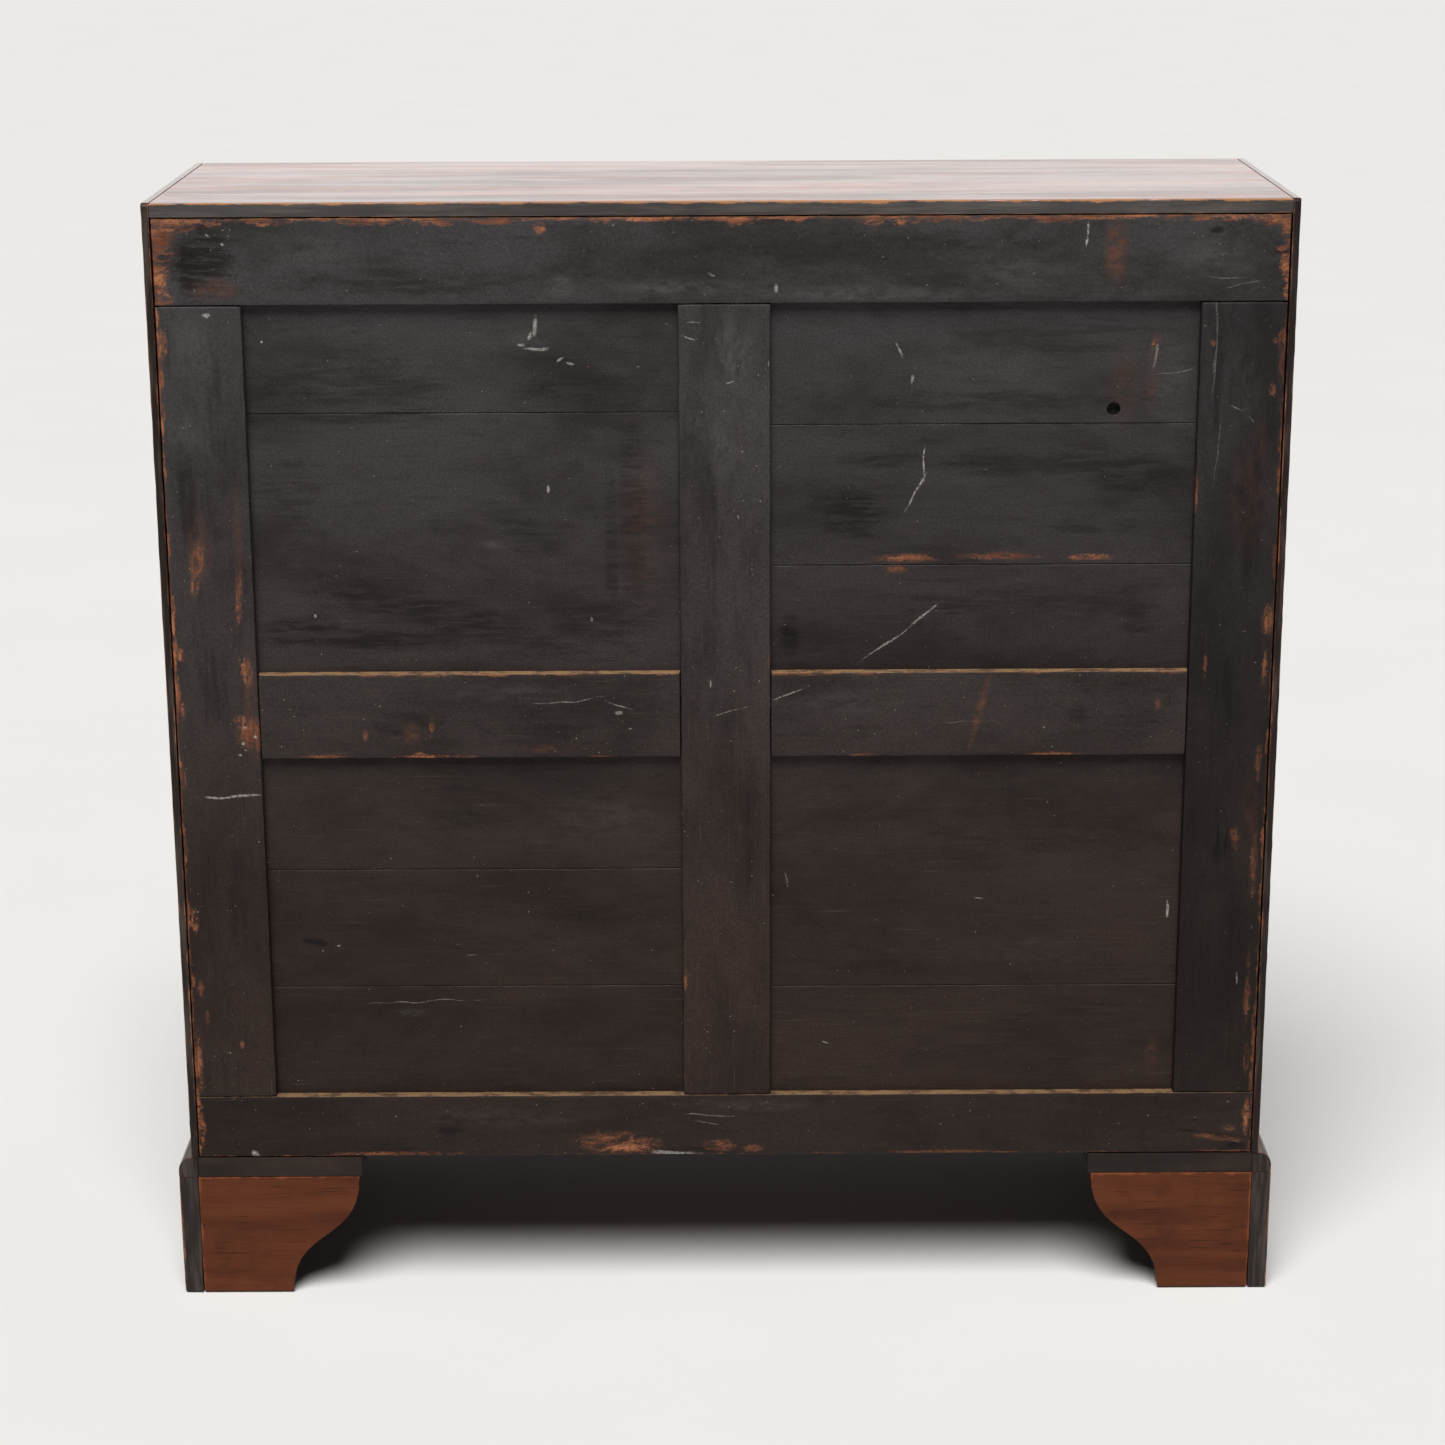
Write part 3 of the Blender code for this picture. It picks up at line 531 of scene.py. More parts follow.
def paint_behind(look, grain, rubbed, shift):
    """Carries the black paint over the part of a polished board that faces backwards."""
    tree = look.node_tree
    shader = tree.nodes["Principled BSDF"].inputs
    where = place_of(tree)
    parts = parts_of(where)
    facing = facing_of(tree)
    polished = shader["Base Color"].links[0].from_socket
    ragged = along_grain(where, grain, 3, shift, 90, 6, 0.75)
    streaks = along_grain(where, grain, 14, shift, 160, 4, 0.65)
    black = mix(fade(streaks, 0.42, 0.68), shade(26, 19, 17), shade(58, 50, 46))
    worn = []
    for axis, place, reach, strength in rubbed:
        far = calc("ABSOLUTE", calc("SUBTRACT", parts["XYZ".index(axis)], place))
        far = scaled(calc("SUBTRACT", ragged, 0.5), reach * 6, far)
        worn.append(product(fade(far, reach * 1.1, reach * 0.6), strength))
    brown = mix(fade(streaks, 0.4, 0.6), shade(84, 50, 32), shade(132, 88, 60))
    black = mix(most_of(worn), black, brown)
    behind = fade(facing[1], 0.35, 0.8)
    tree.links.new(mix(behind, polished, black), shader["Base Color"])
    coat = shader["Coat Weight"]
    was = coat.links[0].from_socket if coat.is_linked else coat.default_value
    bared = scaled(behind, -0.95, 1.0)
    tree.links.new(product(was, bared), coat)


def mahogany(name, grain, dark, light, box, coat=0.5, rubbed=0.5, shift=0.0, sheen_rough=0.16, shine=0.4):
    """Polished mahogany: long figure, short dark pores and arrises where the polish is rubbed."""
    look, tree, shader = new_look(name)
    where = place_of(tree)
    figure = along_grain(where, grain, 11, shift, 26, 6, 0.62, 0.5)
    broad = along_grain(where, grain, 4, shift + 3, 5, 4, 0.6, 0.8)
    pores = along_grain(where, grain, 26, shift, 620, 2, 0.5)
    fine = along_grain(where, grain, 40, shift, 260, 4, 0.6)
    grime = noise(where, 14, 5, 0.65)
    colour = mix(fade(figure, 0.36, 0.64), dark, light)
    deeper = [value * 0.55 for value in dark[:3]] + [1.0]
    colour = mix(fade(broad, 0.42, 0.66, 0.0, 0.55), colour, deeper)
    colour = mix(fade(fine, 0.55, 0.75, 0.0, 0.4), colour, deeper)
    pits = fade(pores, 0.60, 0.72)
    colour = mix(product(pits, 0.6), colour, shade(26, 12, 8))
    colour = mix(fade(grime, 0.52, 0.74, 0.0, 0.45), colour, shade(38, 20, 14))
    arris = arris_of(where, *box)
    uneven = noise(where, 48, 4, 0.7)
    worn = fade(scaled(uneven, -0.012, arris), -0.0035, -0.0065)
    worn = product(worn, rubbed)
    brighter = [min(1.0, value * 2.1) for value in light[:3]] + [1.0]
    colour = mix(worn, colour, brighter)
    gloss = fade(grime, 0.35, 0.7, 0.34, 0.42)
    gloss = scaled(worn, 0.25, gloss)
    gloss = scaled(fine, 0.12, gloss, clamp=True)
    shader["Specular IOR Level"].default_value = shine
    shader["Coat Weight"].default_value = coat
    shader["Coat Roughness"].default_value = sheen_rough
    shader["Coat IOR"].default_value = 1.55
    height = scaled(pits, -0.5, product(fine, 0.3))
    dress(tree, shader, colour, gloss, bump(height, 0.00025, 0.6))
    return look


def sawn_wood(name, grain, dark, light, shift=0.0):
    """Unpolished wood, darkened by age, with saw marks across it and dirt along it."""
    look, tree, shader = new_look(name)
    where = place_of(tree)
    figure = along_grain(where, grain, 9, shift, 40, 5, 0.6, 0.3)
    fibres = along_grain(where, grain, 40, shift, 500, 3, 0.6)
    dirt = noise(where, 20, 5, 0.7)
    saw = noise(drawn_out(where, "Z" if grain != "Z" else "X", 8, shift), 240, 2)
    colour = mix(fade(figure, 0.35, 0.65), dark, light)
    colour = mix(fade(fibres, 0.5, 0.75, 0.0, 0.5), colour, shade(24, 15, 11))
    colour = mix(fade(dirt, 0.45, 0.7, 0.0, 0.6), colour, shade(30, 20, 15))
    shader["Specular IOR Level"].default_value = 0.25
    height = scaled(fibres, 0.5, product(saw, 0.4))
    dress(tree, shader, colour, fade(dirt, 0.3, 0.7, 0.68, 0.9), bump(height, 0.0006, 0.8))
    return look


def brass(name, bright, dull, rough):
    """Brass that is rubbed bright where it is handled and browned elsewhere."""
    look, tree, shader = new_look(name)
    where = place_of(tree)
    tarnish = noise(where, 90, 5, 0.65)
    specks = noise(where, 700, 3, 0.6)
    scratches = noise(drawn_out(where, "Z", 25), 900, 2)
    browned = fade(tarnish, 0.38, 0.62)
    colour = mix(browned, bright, dull)
    colour = mix(fade(specks, 0.62, 0.72, 0.0, 0.7), colour, shade(52, 36, 20))
    shader["Metallic"].default_value = 1.0
    gloss = scaled(browned, 0.2, rough)
    gloss = scaled(specks, 0.12, gloss, clamp=True)
    height = scaled(scratches, 0.4, product(specks, 0.4))
    dress(tree, shader, colour, gloss, bump(height, 0.00012, 0.6))
    return look


def iron(name):
    """Dark iron, rubbed grey on its high places, with a little rust."""
    look, tree, shader = new_look(name)
    where = place_of(tree)
    patches = noise(where, 110, 5, 0.7)
    rusty = noise(where, 60, 6, 0.7, 0.5)
    grain = noise(where, 1100, 3, 0.6)
    colour = mix(fade(patches, 0.4, 0.65), shade(62, 58, 55), shade(112, 107, 102))
    rust = fade(rusty, 0.56, 0.68)
    colour = mix(product(rust, 0.75), colour, shade(88, 50, 30))
    shader["Metallic"].default_value = 0.85
    gloss = fade(patches, 0.35, 0.7, 0.52, 0.34)
    gloss = scaled(rust, 0.3, gloss, clamp=True)
    height = scaled(grain, 0.5, product(rust, 0.4))
    dress(tree, shader, colour, gloss, bump(height, 0.0002, 0.7))
    return look


def old_glass(name):
    """Drawn window glass, a little wavy, which lets the lamps through."""
    look, tree, shader = new_look(name)
    where = place_of(tree)
    waves = noise(drawn_out(where, "Z", 3), 9, 1, 0.3)
    film = noise(where, 9, 4, 0.6)
    colour = mix(fade(film, 0.4, 0.7), shade(247, 251, 249), shade(243, 248, 245))
    gloss = fade(film, 0.45, 0.75, 0.0, 0.01)
    shader["Transmission Weight"].default_value = 1.0
    shader["IOR"].default_value = 1.5
    dress(tree, shader, colour, gloss, bump(waves, 0.0006, 0.25))
    nodes = tree.nodes
    clear = add(tree, "BsdfTransparent", {"Color": (0.9, 0.93, 0.91, 1.0)})
    shadow = add(tree, "LightPath").outputs["Is Shadow Ray"]
    inputs = {0: shadow, 1: nodes["Principled BSDF"].outputs[0], 2: clear.outputs[0]}
    both = after("MixShader", inputs)
    tree.links.new(both.outputs[0], nodes["Material Output"].inputs["Surface"])
    return look


def putty(name):
    """Brown glazing putty, lumpy and grubby."""
    look, tree, shader = new_look(name)
    where = place_of(tree)
    lumps = noise(where, 120, 4, 0.6)
    grime = noise(where, 30, 5, 0.7)
    colour = mix(fade(grime, 0.4, 0.65), shade(74, 46, 30), shade(46, 27, 19))
    dress(tree, shader, colour, fade(grime, 0.3, 0.7, 0.45, 0.7), bump(lumps, 0.0006, 0.7))
    return look


# The back: rails, stiles, muntin and panels

# Marks in the paint, as spots() reads them, in millimetres
MARKS = {
    "back_top_rail": {
        "bare": [(524, 1040, 9.5, 50, 1), (519, 1066, 13, 18, 1), (510, 1079, 24, 6.5, 0.9),
            (520, 1010, 10, 8, 0.9), (66, 1083.5, 30, 2.2, 1), (-8, 1083, 28, 1.8, 0.9),
            (-337, 1083, 33, 1.8, 1), (-512, 1080.5, 16, 5, 1), (-522.5, 1075, 5, 12, 0.9),
            (-520, 1053, 6.5, 4, 0.8), (-521.5, 1040, 4, 12, 0.9), (168, 1075.5, 5, 5, 0.9)],
        "pale": [(-338, 1070, 1, 8.5, 0.9), (460, 1064, 1.5, 1.5, 0.8), (474, 1071, 2.2, 1, 0.8, 20),
            (-470, 1027, 18, 0.5, 0.25, 6), (-486, 1020, 15, 0.5, 0.25, -9), (-49, 1019, 1.2, 3, 0.6),
            (10, 1031, 4, 0.8, 0.5, 30)],
        "dark": [(480, 1048, 28, 28, 0.75), (492, 1045, 12, 34, 0.8), (480, 1077.5, 7, 3, 1),
            (-518, 1051, 7, 1.8, 1), (-457, 1071, 6, 2.8, 0.9), (300, 1025, 100, 12, 0.4),
            (-200, 1062, 80, 10, 0.35)],
        "haze": [(149, 1022, 12, 9, 0.7), (40, 1020, 60, 8, 0.4), (-140, 1014, 100, 7, 0.4),
            (-460, 1045, 35, 20, 0.3), (-270, 1030, 50, 16, 0.25), (380, 1055, 40, 14, 0.2)],
        "rust": [(-365, 1053, 10, 28, 0.8), (470, 1020, 20, 10, 0.5)],
    },
    "back_bottom_rail": {
        "bare": [(107, 163, 32, 10, 1, 4), (5, 160, 14, 5, 0.9), (-27, 157, 9, 4, 0.9),
            (330, 152, 60, 2.5, 0.9), (-220, 152, 50, 2, 0.7), (-493, 166, 22, 3, 0.9, 8),
            (-503, 176, 6, 3, 0.7), (522, 185, 3, 20, 0.8), (-520, 190, 3.5, 16, 0.9)],
        "pale": [(47, 151.5, 17, 3, 1), (470, 155.5, 3.5, 2.8, 0.9), (465, 151, 2, 2, 0.9),
            (12, 193, 20, 0.7, 0.5), (20, 184, 9, 0.6, 0.4, 4)],
        "dark": [(-480, 171, 30, 1.8, 0.95, 8), (-510, 158, 10, 6, 0.8), (275, 180, 12, 14, 0.6),
            (40, 156, 50, 3, 0.6)],
        "haze": [(-20, 203, 60, 6, 0.3), (220, 190, 80, 10, 0.2)],
    },
    "back_stile_right": {
        "bare": [(521, 969, 4, 12, 1), (499, 761, 6.5, 17, 0.9, 12), (503, 738, 4, 8, 0.8),
            (461, 727, 2.8, 24, 0.8, 3), (457, 655, 4.8, 13, 0.9, -8), (519, 670, 3, 6, 0.9),
            (520, 615, 2.5, 8, 0.8), (522, 545, 3, 8, 0.8), (455, 592, 12, 13, 1), (464, 604, 6, 5, 0.9),
            (449, 582, 3, 12, 0.9), (522, 255, 4, 30, 0.9), (516, 330, 3, 8, 0.8), (519, 400, 3, 12, 0.8),
            (511, 300, 1.5, 6, 0.7), (478, 270, 2, 4, 0.7)],
        "pale": [(478, 528, 23, 1.1, 0.8, -2), (460, 597.5, 2.4, 1, 0.9), (451, 588, 1.6, 2.2, 0.9),
            (462, 580, 1.2, 1.6, 0.9), (478, 996, 3.2, 1.6, 0.8), (466, 570, 1.6, 0.8, 0.7)],
        "dark": [(470, 900, 12, 60, 0.4), (505, 820, 8, 50, 0.45), (490, 640, 12, 40, 0.4),
            (475, 420, 10, 60, 0.4)],
        "haze": [(492, 965, 20, 30, 0.3), (505, 885, 14, 20, 0.25)],
        "rust": [(496, 775, 10, 30, 0.5), (454, 620, 7, 50, 0.45), (459, 780, 4, 50, 0.4)],
    },
    "back_stile_left": {
        "bare": [(-523, 971, 3.5, 12, 1), (-523, 945, 3.5, 11, 1), (-516, 969, 2, 3, 0.8),
            (-515, 922, 3, 6, 0.8), (-458, 966, 3, 3, 0.8), (-447.5, 826, 1.6, 18, 0.9),
            (-520, 700, 5, 14, 0.9), (-519, 655, 2.5, 18, 0.8), (-517, 560, 3, 20, 0.8),
            (-497, 482, 4, 11, 0.9, -10), (-517, 455, 3, 30, 0.9), (-516, 320, 3, 30, 0.8),
            (-518, 250, 2.5, 12, 0.8), (-462, 655, 1.8, 12, 0.5)],
        "pale": [(-460, 955, 1, 50, 0.35), (-466, 870, 0.8, 30, 0.25, 2), (-482, 905, 6, 0.5, 0.5, 20),
            (-494, 895, 5, 0.5, 0.5, 50), (-505, 335, 0.8, 5, 0.7)],
        "dark": [(-483, 480, 12, 21, 0.95), (-483, 505, 6, 8, 0.7), (-463, 940, 4, 60, 0.4),
            (-500, 800, 10, 60, 0.45), (-480, 620, 12, 50, 0.45), (-500, 380, 10, 50, 0.4)],
        "haze": [(-487, 930, 20, 50, 0.25), (-484, 482, 6, 12, 0.35)],
        "rust": [(-510, 500, 8, 40, 0.4), (-505, 865, 8, 30, 0.3), (-500, 820, 20, 50, 0.3)],
    },
    "back_muntin": {
        "pale": [(29, 974, 6, 0.7, 0.7, 18), (23, 988, 6, 0.6, 0.55), (-8, 931, 3.5, 0.8, 0.7, -10),
            (-43, 949, 0.8, 3.5, 0.6), (-4, 611, 15, 0.5, 0.45, -14), (10, 640, 0.8, 3, 0.5)],
        "dark": [(12, 800, 6, 70, 0.35), (-25, 500, 8, 60, 0.4)],
        "haze": [(-10, 960, 22, 35, 0.3), (0, 870, 15, 30, 0.25)],
        "bare": [(38, 335, 1.5, 10, 0.6), (-44, 655, 1.5, 10, 0.5)],
    },
    "back_mid_rail_right": {
        "bare": [(385, 567.5, 18, 2.2, 0.9), (290, 567.2, 22, 1.8, 1), (293, 569, 5, 3, 0.9),
            (281, 596.6, 2.2, 8, 0.8, 8), (345, 589, 2.5, 5, 0.5), (250, 567, 10, 1.8, 0.8),
            (120, 566.5, 12, 1.2, 0.6)],
        "pale": [(145, 623.5, 30, 0.5, 0.55, -7), (98, 618.5, 10, 0.7, 0.55, 22), (98, 611, 3.5, 1.6, 0.6)],
        "dark": [(310, 600, 30, 12, 0.4), (180, 590, 40, 12, 0.35)],
        "haze": [(200, 630, 80, 10, 0.2)],
        "rust": [(300, 590, 8, 10, 0.5), (170, 575, 30, 4, 0.4)],
    },
    "back_mid_rail_left": {
        "bare": [(-320, 567.5, 20, 2, 0.8), (-135, 567, 12, 1.8, 0.8), (-418, 617, 2.5, 5, 0.8)],
        "pale": [(-64, 630, 18, 0.7, 0.6, -24), (-230, 600, 20, 0.4, 0.25)],
        "dark": [(-340, 607, 10, 8, 0.5), (-400, 600, 20, 20, 0.3)],
        "rust": [(-247, 612, 3.5, 34, 0.9, 14)],
        "haze": [(-120, 620, 50, 12, 0.2)],
    },
    "back_panel_upper_right": {
        "pale": [(174, 985, 2.4, 9, 0.95), (179, 975, 2, 4, 0.9, 20), (171, 962.5, 10, 1.6, 0.8),
            (187, 965.5, 4, 1.4, 0.7), (150, 951, 3, 1, 0.9, -30), (142, 946, 2.5, 0.8, 0.7, 30),
            (167, 828, 1.2, 3.2, 0.8), (429, 970, 1, 1.2, 0.8), (391, 703, 1.2, 1.8, 0.6),
            (125, 700, 0.8, 1.6, 0.6)],
        "haze": [(220, 775, 12, 4, 0.35), (180, 972, 20, 12, 0.25)],
        "dark": [(250, 901.4, 220, 1, 0.8), (305, 901.4, 35, 1.6, 1), (270, 705, 130, 16, 0.6, 16),
            (405, 690, 35, 14, 0.75), (330, 682, 60, 10, 0.7), (115, 700, 50, 22, 0.5),
            (190, 790, 50, 12, 0.35, 30), (340, 925, 90, 20, 0.4), (130, 925, 60, 12, 0.35),
            (410, 830, 30, 30, 0.35), (360, 896, 100, 4, 0.45), (85, 800, 12, 100, 0.45),
            (105, 760, 6, 80, 0.45)],
        "rust": [(75, 790, 18, 70, 0.18)],
    },
    "back_panel_upper_left": {
        "bare": [(-175, 760, 28, 3.5, 1), (-165, 749, 10, 4, 0.8), (-268, 761.5, 32, 3.2, 1),
            (-350, 760, 20, 2.8, 1), (-404, 966, 2, 6, 0.7, 10)],
        "pale": [(-178, 933, 1.2, 4, 0.9), (-166, 959, 1.2, 6, 0.7, -25), (-192, 850, 0.8, 12, 0.9),
            (-185, 826, 18, 0.9, 0.8, -60), (-193, 705, 18, 1, 0.75, -38), (-160, 679, 28, 0.8, 0.65, -36),
            (-425, 940, 18, 0.5, 0.3, -10), (-405, 955, 1, 12, 0.4, 8)],
        "dark": [(-250, 889, 210, 1, 0.8), (-250, 753, 210, 1, 0.8), (-125, 805, 35, 22, 0.7),
            (-205, 713, 50, 10, 0.6), (-64, 684, 9, 18, 0.85), (-145, 855, 40, 8, 0.5),
            (-300, 850, 100, 10, 0.45), (-390, 840, 40, 18, 0.55), (-360, 790, 60, 10, 0.4),
            (-320, 720, 90, 10, 0.35), (-400, 700, 20, 18, 0.5), (-240, 910, 120, 10, 0.35),
            (-330, 972, 90, 16, 0.3)],
        "haze": [(-420, 920, 15, 50, 0.25), (-250, 940, 60, 20, 0.15)],
        "rust": [(-378, 925, 14, 35, 0.25), (-405, 940, 6, 35, 0.4, 4)],
    },
    "back_panel_lower_right": {
        "dark": [(245, 449.5, 210, 1, 0.6), (245, 327.8, 210, 1, 0.6), (402, 374, 12, 4.5, 0.85, 14),
            (250, 500, 40, 10, 0.3), (120, 400, 50, 12, 0.3), (300, 430, 50, 6, 0.3)],
        "pale": [(300, 312, 45, 0.4, 0.4, -2), (380, 370, 1.6, 1, 0.6), (250, 360, 6, 0.5, 0.4),
            (245, 444, 1.2, 1, 0.4)],
        "haze": [(310, 300, 18, 4, 0.25), (120, 500, 60, 30, 0.12)],
    },
    "back_panel_lower_left": {
        "pale": [(-434.5, 405, 1, 6, 0.9), (-60, 437, 0.8, 6, 0.35), (-250, 418, 5, 0.6, 0.5),
            (-100, 265, 3, 0.6, 0.5, 20)],
        "dark": [(-245, 326.3, 210, 1, 0.6), (-150, 345, 40, 8, 0.4), (-280, 470, 60, 10, 0.3),
            (-380, 300, 40, 10, 0.3)],
        "haze": [(-300, 360, 60, 20, 0.1)],
        "rust": [(-425, 250, 6, 20, 0.3)],
    },
}

# Lines where the paint is rubbed off: an axis, a place, a reach and a strength
RUBBED = {
    "back_top_rail": [
        ("Z", RAIL_TOP, 0.0062, 0.9),
        ("X", STILE_OUT, 0.0040, 0.9),
        ("X", -STILE_OUT, 0.0040, 1.0),
    ],
    "back_stile_right": [("X", STILE_OUT, 0.0040, 0.95)],
    "back_stile_left": [("X", -STILE_OUT, 0.0036, 0.9)],
    "back_mid_rail_left": [("Z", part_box("back_mid_rail_left")[1].z, 0.0022, 0.55)],
    "back_mid_rail_right": [("Z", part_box("back_mid_rail_right")[1].z, 0.0022, 0.55)],
    "back_bottom_rail": [
        ("Z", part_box("back_bottom_rail")[1].z, 0.0014, 0.35),
        ("Z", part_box("back_bottom_rail")[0].z, 0.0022, 0.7),
        ("X", STILE_OUT, 0.0030, 0.8),
        ("X", -STILE_OUT, 0.0030, 0.8),
    ],
}

# How light the paint is on each member, beside the rest
TONES = {
    "back_bottom_rail": 0.85,
    "back_stile_left": 0.57,
    "back_muntin": 1.12,
    "back_panel_upper_left": 0.92,
}


def near_arris(point, low, high):
    """Distance from a point to the nearest arris of a board's back face."""
    gaps = (min(point.x - low.x, high.x - point.x), min(point.z - low.z, high.z - point.z))
    return max(0.0, high.y - point.y) + max(0.0, min(gaps))


def make_back():
    members = [node for node in NODES if node.startswith("back_")]
    for number, node in enumerate(sorted(members)):
        upright = "stile" in node or "muntin" in node
        grain = "Z" if upright else "X"
        tone = TONES.get(node, 1.0)
        look = old_paint(node, grain, MARKS[node], RUBBED.get(node, ()), number * 1.7, tone)
        low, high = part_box(node)
        piece = start_from(node)
        if "panel" in node:
            soften(piece, 0.0004, 1)
        else:
            soften(piece, 0.0014, 3, lambda point: point.y > BACK_Y - NEAR)
            across = 0 if upright else 2
            score(piece, across, low[across] + 0.006, high[across] - 0.006)
            divide(piece, 2 - across, 0.007)
            wear(piece, 0.0022, 0.012, lambda point: 1.0 - near_arris(point, low, high) / 0.004)
        smooth(piece, 40)
        stand_in(piece, node, look, "painted")


# Case, base and feet


def make_case():
    for side_name, side in SIDES.items():
        node = f"side_{side_name}"
        low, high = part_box(node)
        outer = side * max(abs(low.x), abs(high.x))
        piece = start_from(node)
        soften(piece, 0.0045, 4, lambda p: p.y > BACK_Y - NEAR and p.z > high.z - NEAR)
        soften(piece, 0.0016, 3, lambda p: abs(p.x - outer) < NEAR)
        soften(piece, 0.0005, 1)
        score(piece, 1, BACK_Y - 0.006)
        divide(piece, 2, 0.009)
        wear(piece, 0.0016, 0.014, lambda p: 1.0 - (abs(p.x - outer) + BACK_Y - p.y) / 0.004)
        smooth(piece)
        look = mahogany(
            f"polished_side_{side_name}", "Z", shade(46, 22, 15), shade(92, 46, 29), (low, high),
            coat=0.3, rubbed=0.55, shift=side * 2.0, sheen_rough=0.13, shine=0.15,
        )
        polish_the_end(look)
        inner = STILE_OUT * side
        paint_behind(look, "Z", [("X", inner, 0.0011, 0.9), ("X", outer, 0.0012, 0.5)], side)
        stand_in(piece, node, look)
    low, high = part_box("top_board")
    piece = start_from("top_board")
    soften(piece, 0.0012, 3, lambda p: p.z > high.z - NEAR)
    soften(piece, 0.0005, 1)
    score(piece, 1, BACK_Y - 0.006)
    divide(piece, 0, 0.008)
    wear(piece, 0.0014, 0.010, lambda p: 1.0 - (high.z - p.z + BACK_Y - p.y) / 0.003)
    smooth(piece)
    stand_in(piece, "top_board", polished_top(low, high))
    for node in ("bottom_board", "shelf_lower", "shelf_upper"):
        low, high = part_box(node)
        piece = start_from(node)
        soften(piece, 0.0012, 3)
        smooth(piece)
        look = mahogany(
            f"oiled_{node}", "X", shade(58, 28, 18), shade(104, 54, 33), (low, high),
            coat=0.15, shift=low.z * 9,
        )
        stand_in(piece, node, look)


def polished_top(low, high):
    """High polish on the top board, over a grubby painted rear lip with rubbed arrises."""
    look = mahogany(
        "polished_top", "X", shade(74, 36, 20), shade(132, 72, 42), (low, high),
        coat=1.0, rubbed=0.8, shift=4.0, sheen_rough=0.10, shine=0.1,
    )
    paint_behind(look, "X", [("Z", high.z, 0.0016, 0.8), ("Z", RAIL_TOP, 0.0009, 0.6)], 6.0)
    tree = look.node_tree
    shader = tree.nodes["Principled BSDF"].inputs
    shader["Coat IOR"].default_value = 1.7
    where = place_of(tree)
    bands = noise(drawn_out(where, "X", 9), 26, 4, 0.6)
    parts = parts_of(where)
    broken = noise(drawn_out(where, "X", 3), 90, 4, 0.7)
    near = calc("SUBTRACT", calc("ADD", parts[1], parts[2]), BACK_Y + high.z)
    near = scaled(calc("SUBTRACT", broken, 0.5), 0.009, near)
    rubbed = fade(near, -0.0030, -0.0014)
    kept = calc("SUBTRACT", 1.0, rubbed)
    coat = product(fade(bands, 0.38, 0.62, 0.72, 1.0), kept)
    tree.links.new(coat, shader["Coat Weight"])
    below = shader["Base Color"].links[0].from_socket
    tree.links.new(mix(rubbed, below, shade(150, 106, 72)), shader["Base Color"])
    return look


def polish_the_end(look):
    """Polishes a side's upper end like the top board that it stands beside."""
    tree = look.node_tree
    shader = tree.nodes["Principled BSDF"].inputs
    facing = facing_of(tree)
    least = shader["Coat Weight"].default_value
    tree.links.new(fade(facing[2], 0.6, 0.95, least, 0.95), shader["Coat Weight"])


def make_base():
    for node in sorted(NODES):
        if not node.startswith(("base_", "foot_")):
            continue
        low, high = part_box(node)
        piece = start_from(node)
        if "bracket" in node:
            soften(piece, 0.0030, 3, lambda p: p.z < 0.0003)
        soften(piece, 0.0006 if "moulding" in node else 0.0010, 2)
        if "bracket" in node:
            divide(piece, 2, 0.006)
            wear(piece, 0.0014, 0.010, lambda p: 0.9 - p.z / 0.05)
        smooth(piece)
        shift = low.x * 3 + low.y * 5
        if "runner" in node or "block" in node:
            grain = "X" if "runner" in node else "Z"
            look = sawn_wood(f"sawn_{node}", grain, shade(22, 16, 13), shade(40, 29, 23), shift)
        elif "rear_bracket" in node:
            look = mahogany(
                f"rubbed_{node}", "X", shade(66, 32, 18), shade(84, 44, 25), (low, high),
                coat=0.0, rubbed=0.7, shift=shift, shine=0.10,
            )
        else:
            grain = "Y" if "side_bracket" in node or node.endswith(("left", "right")) else "X"
            look = mahogany(
                f"polished_{node}", grain, shade(36, 18, 12), shade(70, 34, 21), (low, high),
                coat=0.25, rubbed=0.4, shift=shift, shine=0.25,
            )
            if grain == "Y" and "front" not in node:
                outer = high.x if high.x > 0 else low.x
                paint_behind(look, "Z", [("X", outer, 0.0015, 0.7)], shift)
        stand_in(piece, node, look)


# Doors


